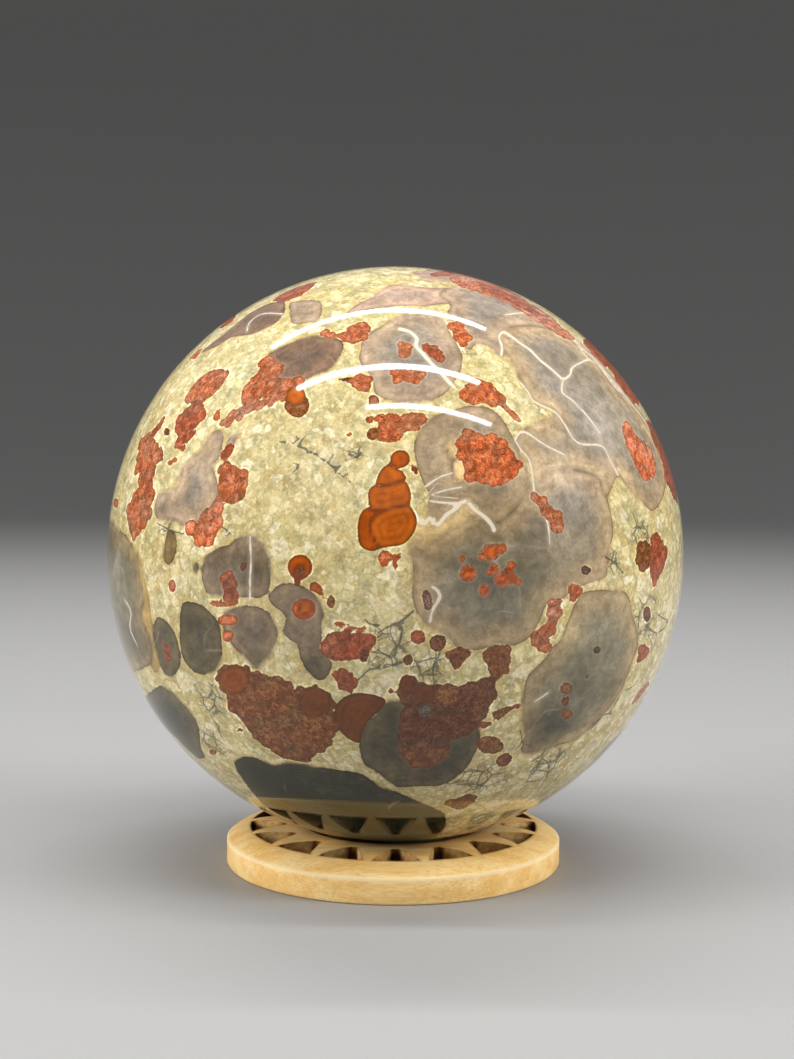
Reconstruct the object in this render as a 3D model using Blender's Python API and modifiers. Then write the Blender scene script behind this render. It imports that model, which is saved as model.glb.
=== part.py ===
"""A polished ball of poppy jasper resting on a turned wooden ring stand.

Metres, +Z up. The origin is at the centre of the stand's underside, on the surface that
it stands on, and +Z runs up through the middle of the ring and of the ball.
"""

import math

import bmesh
import bpy

OBJECT_NAME = "poppy_jasper_sphere"

# The ball
BALL_RADIUS = 0.0425
BALL_SEGMENTS = 72
BALL_RINGS = 36

# The ring stand: overall size
RING_RADIUS = 0.0250
RING_HEIGHT = 0.0055
HOLE_RADIUS = 0.0134
RING_STEPS = 96

# The ring stand: turned profile, a domed top that falls to a crisp edge over an upright side
DOME_START_RADIUS = 0.0190
SIDE_TOP_HEIGHT = 0.0036
DOME_END_TURN = math.radians(50.0)
DOME_POINTS = 6
FOOT_ROUNDING = 0.0004
HOLE_EDGE_BREAK = 0.00015
SHARP_ANGLE = math.radians(30.0)

# The row of openings cut through the ring, each a triangle with its point to the middle
OPENING_COUNT = 17
OPENING_BASE_RADIUS = 0.02145
OPENING_TIP_RADIUS = 0.0163
OPENING_HALF_ANGLE = math.radians(8.4)
OPENING_TIP_HALF_WIDTH = 0.0004
OPENING_SIDE_BULGE = 0.00015
OPENING_BASE_POINTS = 4
OPENING_SIDE_POINTS = 2
FIRST_OPENING_TURN = math.radians(1.2)
CUTTER_OVERSHOOT = 0.001

# The ball rests on the hole's upper edge, with a hair's gap so that the solids stay apart
CONTACT_GAP = 0.0003
SEAT_RADIUS = HOLE_RADIUS + HOLE_EDGE_BREAK
BALL_CENTRE_HEIGHT = RING_HEIGHT + math.sqrt((BALL_RADIUS + CONTACT_GAP) ** 2 - SEAT_RADIUS ** 2)


def remove_everything():
    """Empty the scene that the script starts in."""
    for item in list(bpy.data.objects):
        bpy.data.objects.remove(item, do_unlink=True)


def new_collection(name):
    """Add a collection to the scene."""
    collection = bpy.data.collections.new(name)
    bpy.context.scene.collection.children.link(collection)
    return collection


def principled(name, colour, roughness, metallic=0.0):
    """Make a plain Principled material."""
    material = bpy.data.materials.new(name)
    material.use_nodes = True
    shader = material.node_tree.nodes["Principled BSDF"]
    shader.inputs["Base Color"].default_value = (*colour, 1.0)
    shader.inputs["Roughness"].default_value = roughness
    shader.inputs["Metallic"].default_value = metallic
    material.diffuse_color = (*colour, 1.0)
    return material


def object_from_bmesh(name, shape, collection):
    """Turn a bmesh into an object in a collection."""
    mesh = bpy.data.meshes.new(name)
    shape.to_mesh(mesh)
    shape.free()
    result = bpy.data.objects.new(name, mesh)
    collection.objects.link(result)
    return result


def apply_modifiers(item):
    """Give an object the mesh that its modifiers make of it."""
    evaluated = item.evaluated_get(bpy.context.evaluated_depsgraph_get())
    mesh = bpy.data.meshes.new_from_object(evaluated)
    mesh.name = item.name
    item.modifiers.clear()
    item.data = mesh


def make_ball(collection):
    """The stone: one sphere."""
    shape = bmesh.new()
    bmesh.ops.create_uvsphere(shape, u_segments=BALL_SEGMENTS, v_segments=BALL_RINGS, radius=BALL_RADIUS)
    ball = object_from_bmesh("jasper_sphere", shape, collection)
    ball.location = (0.0, 0.0, BALL_CENTRE_HEIGHT)
    ball.data.shade_smooth()
    ball.data.materials.append(principled("poppy_jasper", (0.36, 0.27, 0.17), 0.12))
    return ball


def dome_profile():
    """Points of the domed top, level where it starts and steepest at the ring's outer edge."""
    reach = RING_RADIUS - DOME_START_RADIUS
    drop = RING_HEIGHT - SIDE_TOP_HEIGHT
    points = []
    for step in range(DOME_POINTS + 1):
        turn = DOME_END_TURN * step / DOME_POINTS
        outward = math.sin(turn) / math.sin(DOME_END_TURN)
        downward = (1.0 - math.cos(turn)) / (1.0 - math.cos(DOME_END_TURN))
        points.append((DOME_START_RADIUS + reach * outward, RING_HEIGHT - drop * downward))
    return points


def ring_profile():
    """Closed outline of the ring's section as (radius, height), down the outside first."""
    return [
        (SEAT_RADIUS, RING_HEIGHT),
        *dome_profile(),
        (RING_RADIUS, FOOT_ROUNDING),
        (RING_RADIUS - FOOT_ROUNDING, 0.0),
        (HOLE_RADIUS + HOLE_EDGE_BREAK, 0.0),
        (HOLE_RADIUS, HOLE_EDGE_BREAK),
        (HOLE_RADIUS, RING_HEIGHT - HOLE_EDGE_BREAK),
    ]


def opening_outline():
    """Outline of one opening as (x, y), its point towards the middle and its base on a circle."""
    base_corner = (
        OPENING_BASE_RADIUS * math.sin(OPENING_HALF_ANGLE),
        OPENING_BASE_RADIUS * math.cos(OPENING_HALF_ANGLE),
    )
    tip_corner = (OPENING_TIP_HALF_WIDTH, OPENING_TIP_RADIUS)
    run = (tip_corner[0] - base_corner[0], tip_corner[1] - base_corner[1])
    length = math.hypot(*run)
    outward = (-run[1] / length, run[0] / length)
    side = []
    for step in range(1, OPENING_SIDE_POINTS + 1):
        share = step / (OPENING_SIDE_POINTS + 1)
        bulge = OPENING_SIDE_BULGE * math.sin(math.pi * share)
        side.append((
            base_corner[0] + run[0] * share + outward[0] * bulge,
            base_corner[1] + run[1] * share + outward[1] * bulge,
        ))
    base = []
    for step in range(OPENING_BASE_POINTS + 1):
        turn = OPENING_HALF_ANGLE * (2.0 * step / OPENING_BASE_POINTS - 1.0)
        base.append((OPENING_BASE_RADIUS * math.sin(turn), OPENING_BASE_RADIUS * math.cos(turn)))
    right_side = side + [tip_corner]
    left_side = [(-x, y) for x, y in reversed(right_side)]
    return base + right_side + left_side


def make_opening_cutter(index, collection):
    """One upright prism, longer than the ring is thick, turned to its place in the row."""
    turn = math.pi + FIRST_OPENING_TURN + index * 2.0 * math.pi / OPENING_COUNT
    shape = bmesh.new()
    rim = [shape.verts.new((x, y, 0.0)) for x, y in opening_outline()]
    floor = shape.faces.new(rim)
    raised = bmesh.ops.extrude_face_region(shape, geom=[floor])
    top = [item for item in raised["geom"] if isinstance(item, bmesh.types.BMVert)]
    bmesh.ops.translate(shape, verts=top, vec=(0.0, 0.0, RING_HEIGHT + 2.0 * CUTTER_OVERSHOOT))
    bmesh.ops.recalc_face_normals(shape, faces=shape.faces)
    cutter = object_from_bmesh("opening_cutter_%02d" % index, shape, collection)
    cutter.location = (0.0, 0.0, -CUTTER_OVERSHOOT)
    cutter.rotation_euler = (0.0, 0.0, turn)
    cutter.hide_render = True
    cutter.display_type = "WIRE"
    return cutter


def make_ring(collection, cutters):
    """The stand: a turned ring with a row of triangular openings sawn through it."""
    shape = bmesh.new()
    corners = [shape.verts.new((radius, 0.0, height)) for radius, height in ring_profile()]
    for start, end in zip(corners, corners[1:] + corners[:1]):
        shape.edges.new((start, end))
    ring = object_from_bmesh("ring_stand", shape, collection)
    turning = ring.modifiers.new("turning", "SCREW")
    turning.axis = "Z"
    turning.angle = 2.0 * math.pi
    turning.steps = RING_STEPS
    turning.render_steps = RING_STEPS
    turning.use_merge_vertices = True
    turning.merge_threshold = 0.00001
    turning.use_smooth_shade = False
    openings = ring.modifiers.new("openings", "BOOLEAN")
    openings.operation = "DIFFERENCE"
    openings.solver = "EXACT"
    openings.operand_type = "COLLECTION"
    openings.collection = cutters
    apply_modifiers(ring)
    ring.data.shade_smooth()
    ring.data.set_sharp_from_angle(angle=SHARP_ANGLE)
    ring.data.materials.clear()
    ring.data.materials.append(principled("pale_turned_wood", (0.72, 0.50, 0.25), 0.5))
    return ring


def main():
    remove_everything()
    parts = new_collection(OBJECT_NAME)
    cutters = new_collection("ring_opening_cutters")
    for index in range(OPENING_COUNT):
        make_opening_cutter(index, cutters)
    make_ring(parts, cutters)
    make_ball(parts)


main()
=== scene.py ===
import math

import bmesh
import bpy
import numpy as np
from mathutils import Matrix, Vector


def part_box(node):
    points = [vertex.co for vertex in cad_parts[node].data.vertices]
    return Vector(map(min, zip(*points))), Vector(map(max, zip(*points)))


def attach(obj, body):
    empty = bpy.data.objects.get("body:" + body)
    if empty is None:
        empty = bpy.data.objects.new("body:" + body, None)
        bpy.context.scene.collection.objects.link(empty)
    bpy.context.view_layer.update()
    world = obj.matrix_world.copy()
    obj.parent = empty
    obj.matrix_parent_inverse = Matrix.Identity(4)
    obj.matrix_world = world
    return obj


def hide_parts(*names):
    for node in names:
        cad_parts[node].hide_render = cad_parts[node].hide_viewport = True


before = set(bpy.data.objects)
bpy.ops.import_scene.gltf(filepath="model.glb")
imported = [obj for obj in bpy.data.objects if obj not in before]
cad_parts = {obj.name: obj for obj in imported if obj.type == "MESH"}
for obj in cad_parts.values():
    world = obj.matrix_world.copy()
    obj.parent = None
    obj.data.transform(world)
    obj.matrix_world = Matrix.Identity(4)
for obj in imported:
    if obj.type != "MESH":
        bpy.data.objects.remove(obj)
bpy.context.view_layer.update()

FULL_TURN = 2.0 * math.pi

# The photograph's frame and the camera that was fitted to it, in pixels, metres and radians
PHOTO_WIDTH = 794
PHOTO_HEIGHT = 1059
FOCAL_PIXELS = 1500.0
SENSOR_MM = 36.0
CAMERA_PLACE = np.array((0.0, -0.224845, 0.059578))
CAMERA_PITCH_DOWN = math.radians(2.506)
CAMERA_YAW = math.radians(0.057)
CAMERA_ROLL = math.radians(0.426)

# The ball, measured from the CAD node's box
BALL_LOW, BALL_HIGH = [np.array(corner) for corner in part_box("jasper_sphere")]
BALL_CENTRE = (BALL_LOW + BALL_HIGH) / 2.0
BALL_RADIUS = float(BALL_HIGH[2] - BALL_LOW[2]) / 2.0
BALL_RADIUS_MM = BALL_RADIUS * 1000.0

# The six square patches that the ball is made of: which way each faces, and which way its rows run
PATCH_CELLS = 128
PATCH_SIDES = (
    ((1, 0, 0), (0, 1, 0)),
    ((0, 1, 0), (-1, 0, 0)),
    ((-1, 0, 0), (0, -1, 0)),
    ((0, -1, 0), (1, 0, 0)),
    ((0, 0, 1), (1, 0, 0)),
    ((0, 0, -1), (1, 0, 0)),
)
BAKE_COLUMNS = 3
BAKE_ROWS = 2
BAKE_MARGIN = 0.003

# The ring stand: the same turned profile as the CAD node, with more points
RING_RADIUS = 0.0250
RING_HEIGHT = 0.0055
HOLE_RADIUS = 0.0134
RING_STEPS = 204
DOME_START_RADIUS = 0.0190
SIDE_TOP_HEIGHT = 0.0036
DOME_END_TURN = math.radians(50.0)
DOME_POINTS = 12
FOOT_ROUNDING = 0.0004
FOOT_BOW_SHARE = 0.3
HOLE_EDGE_BREAK = 0.00015
SEAT_RADIUS = HOLE_RADIUS + HOLE_EDGE_BREAK
EDGE_BREAK = 0.0001
EASED_ANGLE = math.radians(45.0)
SHARP_ANGLE = math.radians(30.0)
OPENING_COUNT = 17
OPENING_BASE_RADIUS = 0.02145
OPENING_TIP_RADIUS = 0.0163
TIP_CLEARANCE = 0.0006
OPENING_HALF_ANGLE = math.radians(8.4)
OPENING_TIP_HALF_WIDTH = 0.0004
OPENING_SIDE_BULGE = 0.00015
OPENING_BASE_POINTS = 8
OPENING_SIDE_POINTS = 4
FIRST_OPENING_TURN = math.radians(1.2)
CUTTER_OVERSHOOT = 0.001

# Colours of the stone, linear
TONES = {
    "pale_grey": (0.46, 0.38, 0.285),
    "pink_grey": (0.36, 0.265, 0.205),
    "grey": (0.32, 0.25, 0.18),
    "tan_grey": (0.33, 0.255, 0.16),
    "mid_grey": (0.30, 0.232, 0.146),
    "brown_grey": (0.160, 0.105, 0.072),
    "deep_grey": (0.165, 0.128, 0.088),
    "dark_grey": (0.092, 0.078, 0.044),
    "green_grey": (0.20, 0.162, 0.088),
    "olive_grey": (0.29, 0.232, 0.135),
    "slate": (0.115, 0.100, 0.075),
    "olive": (0.17, 0.125, 0.06),
    "black_green": (0.034, 0.034, 0.018),
    "tan": (0.56, 0.42, 0.21),
    "stain": (0.33, 0.235, 0.085),
    "orange": (0.40, 0.088, 0.007),
    "deep_orange": (0.35, 0.064, 0.004),
    "orange_red": (0.52, 0.135, 0.038),
    "red": (0.34, 0.080, 0.026),
    "rust": (0.44, 0.135, 0.048),
    "coral": (0.60, 0.185, 0.075),
    "pink_red": (0.52, 0.20, 0.095),
    "brick": (0.18, 0.064, 0.012),
    "clay": (0.21, 0.052, 0.006),
    "dark_clay": (0.145, 0.040, 0.005),
    "ember": (0.56, 0.105, 0.012),
    "brown_red": (0.115, 0.040, 0.012),
    "maroon": (0.085, 0.026, 0.009),
    "cream": (0.79, 0.67, 0.36),
    "yellow_green": (0.56, 0.49, 0.20),
    "pale_green": (0.53, 0.505, 0.285),
    "ochre": (0.53, 0.34, 0.10),
    "ground": (0.58, 0.475, 0.195),
    "shadow": (0.27, 0.235, 0.11),
    "vein": (0.80, 0.69, 0.53),
    "chalk": (0.86, 0.77, 0.54),
    "crack": (0.060, 0.062, 0.055),
    "net": (0.085, 0.085, 0.065),
}

# Tones of the clear clusters; red clusters in any other tone are granular
SMOOTH_TONES = ("orange", "deep_orange", "clay", "dark_clay", "ember")

# Grey orbs that the photograph shows: tone and outline in photo pixels, x and y in turn
ORB_OUTLINES = {
    "far_left_lens": ("brown_grey", (
        201, 353, 212, 343, 225, 333, 238, 322, 252, 312, 268, 304, 284, 302, 284, 312, 276, 323,
        262, 330, 250, 335, 230, 338, 218, 346)),
    "left_top_small": ("grey", (
        290, 303, 300, 301, 312, 300, 321, 302, 322, 309, 320, 318, 315, 322, 305, 323, 293, 324, 290, 316)),
    "brown_lens": ("brown_grey", (
        268, 354, 285, 345, 298, 339, 312, 336, 325, 336, 337, 338, 343, 343, 343, 350, 338, 360,
        332, 368, 320, 374, 305, 380, 295, 385, 283, 386, 274, 380, 270, 366)),
    "top": ("pink_grey", (
        346, 314, 356, 305, 370, 298, 380, 290, 392, 285, 410, 286, 430, 288, 450, 288, 470, 293,
        485, 299, 480, 304, 460, 304, 440, 304, 425, 306, 400, 306, 380, 308, 362, 311)),
    "top_limb": ("pink_grey", (
        412, 272, 425, 271, 440, 269, 455, 272, 470, 276, 472, 281, 455, 282, 440, 281, 425, 279)),
    "upper_limb": ("grey", (
        440, 295, 450, 287, 475, 284, 500, 291, 525, 303, 550, 318, 575, 338, 600, 362, 620, 385,
        638, 408, 650, 428, 636, 416, 610, 388, 590, 362, 570, 345, 545, 334, 520, 332, 506, 338,
        508, 352, 500, 357, 490, 348, 478, 344, 470, 350, 462, 345, 455, 330, 447, 316, 450, 303)),
    "centre_top": ("grey", (
        360, 362, 360, 350, 363, 341, 370, 333, 380, 327, 388, 322, 398, 316, 415, 313, 430, 313,
        440, 317, 446, 323, 450, 332, 456, 341, 460, 350, 463, 360, 460, 372, 453, 385, 447, 392,
        437, 398, 425, 402, 405, 403, 390, 401, 378, 396, 373, 388, 372, 378, 366, 370)),
    "left_blob": ("grey", (
        206, 440, 212, 432, 220, 430, 224, 436, 221, 448, 219, 458, 214, 463, 214, 470, 217, 480,
        218, 492, 216, 500, 210, 510, 200, 520, 190, 525, 183, 526, 175, 522, 165, 521, 157, 519,
        154, 510, 156, 500, 160, 492, 172, 490, 178, 484, 180, 473, 184, 465, 190, 458, 200, 450)),
    "left_drop": ("grey", (240, 430, 236, 440, 232, 450, 228, 458, 222, 460, 224, 448, 229, 438)),
    "olive_oval": ("olive", (
        168, 530, 174, 532, 177, 540, 176, 552, 172, 562, 168, 565, 164, 561, 163, 552, 165, 541)),
    "double_lobed": ("deep_grey", (
        205, 556, 212, 551, 220, 547, 228, 545, 234, 540, 240, 536, 247, 534, 254, 536, 261, 541,
        267, 550, 271, 560, 271, 572, 270, 582, 268, 592, 260, 598, 248, 597, 235, 598, 222, 596,
        212, 596, 206, 592, 203, 585, 201, 575, 203, 563)),
    "by_the_circle": ("deep_grey", (
        268, 598, 274, 588, 282, 584, 292, 583, 300, 586, 310, 590, 318, 598, 322, 606, 324, 615,
        322, 622, 322, 640, 320, 650, 330, 658, 332, 664, 329, 674, 323, 680, 315, 678, 306, 668,
        299, 656, 298, 645, 290, 640, 283, 632, 286, 617, 276, 608)),
    "twin_left": ("dark_grey", (
        182, 604, 192, 602, 203, 606, 213, 615, 220, 628, 222, 645, 222, 658, 217, 670, 205, 675,
        193, 671, 184, 660, 180, 645, 180, 622)),
    "twin_right": ("deep_grey", (
        224, 612, 238, 606, 255, 606, 268, 612, 276, 625, 278, 638, 273, 652, 263, 663, 256, 669,
        248, 662, 240, 653, 232, 645, 226, 635, 223, 624)),
    "ringed_oval": ("dark_grey", (
        158, 616, 164, 619, 170, 625, 175, 633, 178, 643, 180, 655, 180, 665, 176, 673, 171, 677,
        165, 674, 159, 664, 156, 652, 154, 640, 153, 630, 155, 621)),
    "left_stain": ("stain", (
        136, 550, 142, 562, 145, 580, 149, 600, 152, 622, 155, 645, 160, 668, 154, 672, 148, 655,
        143, 630, 140, 605, 137, 580)),
    "left_limb": ("green_grey", (
        112, 520, 120, 530, 128, 537, 133, 546, 138, 556, 140, 577, 144, 600, 141, 612, 144, 625,
        150, 640, 152, 655, 145, 668, 127, 670, 112, 632, 104, 585, 104, 550, 107, 522)),
    "left_low": ("dark_grey", (
        157, 687, 165, 688, 172, 692, 180, 700, 188, 708, 195, 718, 199, 728, 200, 738, 201, 748,
        205, 757, 198, 758, 188, 750, 175, 737, 163, 725, 153, 712, 145, 700)),
    "bottom_band": ("black_green", (
        234, 762, 247, 756, 264, 761, 276, 765, 290, 762, 315, 766, 340, 770, 362, 774, 382, 787,
        400, 793, 422, 803, 445, 815, 440, 834, 410, 842, 370, 842, 330, 834, 295, 822, 265, 806,
        256, 796, 243, 780)),
    "low_centre": ("dark_grey", (
        385, 702, 398, 700, 413, 690, 440, 690, 465, 700, 478, 715, 480, 742, 473, 757, 469, 765,
        463, 772, 455, 778, 447, 783, 437, 786, 425, 786, 410, 787, 398, 787, 390, 783, 382, 776,
        375, 771, 364, 764, 361, 757, 359, 745, 361, 735, 366, 724, 375, 715)),
    "upper_middle": ("mid_grey", (
        420, 428, 430, 418, 440, 414, 455, 409, 470, 406, 485, 407, 496, 412, 503, 420, 510, 432,
        516, 445, 521, 455, 527, 465, 530, 480, 527, 504, 502, 527, 485, 517, 476, 505, 464, 500,
        450, 511, 438, 524, 433, 519, 427, 517, 425, 508, 430, 497, 427, 490, 422, 480, 418, 470,
        414, 455, 415, 440)),
    "giant": ("mid_grey", (
        409, 545, 408, 552, 413, 565, 413, 580, 412, 595, 415, 610, 420, 618, 432, 628, 445, 636,
        458, 648, 475, 650, 500, 645, 515, 645, 530, 637, 540, 620, 548, 603, 560, 600, 575, 590,
        590, 583, 605, 578, 608, 565, 610, 550, 613, 535, 612, 520, 610, 508, 606, 495, 598, 478,
        575, 466, 550, 468, 532, 480, 520, 502, 497, 523, 480, 516, 464, 505, 450, 516, 438, 529,
        425, 534)),
    "upper_right": ("tan_grey", (
        503, 331, 520, 326, 545, 328, 570, 340, 590, 357, 612, 385, 630, 400, 645, 425, 657, 445,
        665, 470, 666, 482, 662, 500, 653, 511, 645, 505, 635, 497, 626, 486, 618, 476, 606, 497,
        598, 478, 575, 470, 550, 472, 534, 482, 530, 462, 521, 450, 515, 440, 530, 425, 555, 412,
        535, 402, 521, 383, 510, 360, 500, 345)),
    "right": ("olive_grey", (
        577, 600, 585, 592, 600, 590, 615, 590, 625, 592, 630, 600, 632, 612, 636, 625, 638, 640,
        637, 650, 632, 663, 627, 678, 621, 692, 612, 705, 603, 716, 594, 726, 582, 735, 572, 742,
        560, 745, 550, 750, 540, 752, 530, 754, 521, 752, 523, 735, 522, 722, 520, 708, 524, 690,
        526, 680, 532, 671, 545, 658, 552, 647, 560, 640, 568, 620)),
    "split_wedge": ("tan", (
        416, 526, 424, 524, 437, 527, 447, 518, 456, 511, 468, 503, 478, 511, 487, 519, 479, 518,
        470, 515, 458, 524, 447, 529, 436, 539, 424, 541, 417, 535)),
    "crystal_a": ("tan", (453, 461, 464, 460, 467, 470, 466, 480, 457, 481, 453, 472)),
    "crystal_b": ("tan", (447, 443, 455, 446, 458, 456, 452, 458, 447, 450)),
}

# Small orbs: tone, place in photo pixels, half widths and tilt in degrees
ORB_DISCS = {
    "left_speck": ("dark_grey", 196, 568, 3.5, 6, 0),
}

# Tints that lie softly over the orbs: tone, place and reach in photo pixels, strength
ORB_TINTS = {
    "giant_left": ("green_grey", 490, 575, 55, 0.8),
    "giant_low": ("green_grey", 500, 620, 30, 0.4),
    "giant_right": ("tan_grey", 590, 525, 32, 0.9),
    "giant_top": ("pale_grey", 565, 490, 34, 0.8),
    "split_a": ("tan", 428, 532, 11, 0.9),
    "split_b": ("tan", 455, 520, 10, 0.7),
    "giant_core": ("slate", 484, 582, 24, 0.65),
    "giant_core_low": ("slate", 505, 605, 16, 0.45),
    "upper_middle_left": ("pale_grey", 430, 455, 20, 0.3),
    "left_blob_foot": ("slate", 161, 508, 9, 0.7),
    "left_blob_neck": ("tan_grey", 206, 448, 12, 0.6),
    "upper_middle_top": ("grey", 475, 415, 20, 0.6),
    "upper_right_middle": ("pale_grey", 598, 425, 34, 1.0),
    "upper_right_top": ("grey", 545, 345, 30, 0.7),
    "right_low": ("dark_grey", 552, 726, 38, 1.0),
    "right_side": ("green_grey", 612, 685, 30, 0.9),
    "right_middle": ("green_grey", 580, 660, 22, 0.6),
    "double_lobed_right": ("dark_grey", 262, 572, 12, 0.6),
    "twin_right_low": ("dark_grey", 258, 660, 12, 0.6),
    "low_centre_red": ("brick", 421, 757, 17, 0.75),
    "low_centre_left": ("black_green", 372, 748, 14, 0.5),
    "left_low_limb": ("black_green", 172, 720, 22, 0.6),
    "low_centre_top": ("black_green", 390, 714, 13, 0.6),
    "circle_low": ("dark_grey", 315, 665, 18, 0.9),
    "limb_low": ("brown_grey", 130, 635, 22, 0.8),
    "limb_upper": ("pale_grey", 118, 560, 14, 0.6),
    "left_blob_pale": ("pale_grey", 200, 480, 16, 0.6),
    "right_low_upper": ("dark_grey", 582, 690, 24, 0.6),
    "giant_low_right": ("green_grey", 542, 592, 26, 0.5),
    "upper_right_milk": ("pale_grey", 560, 388, 26, 0.8),
}

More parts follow.
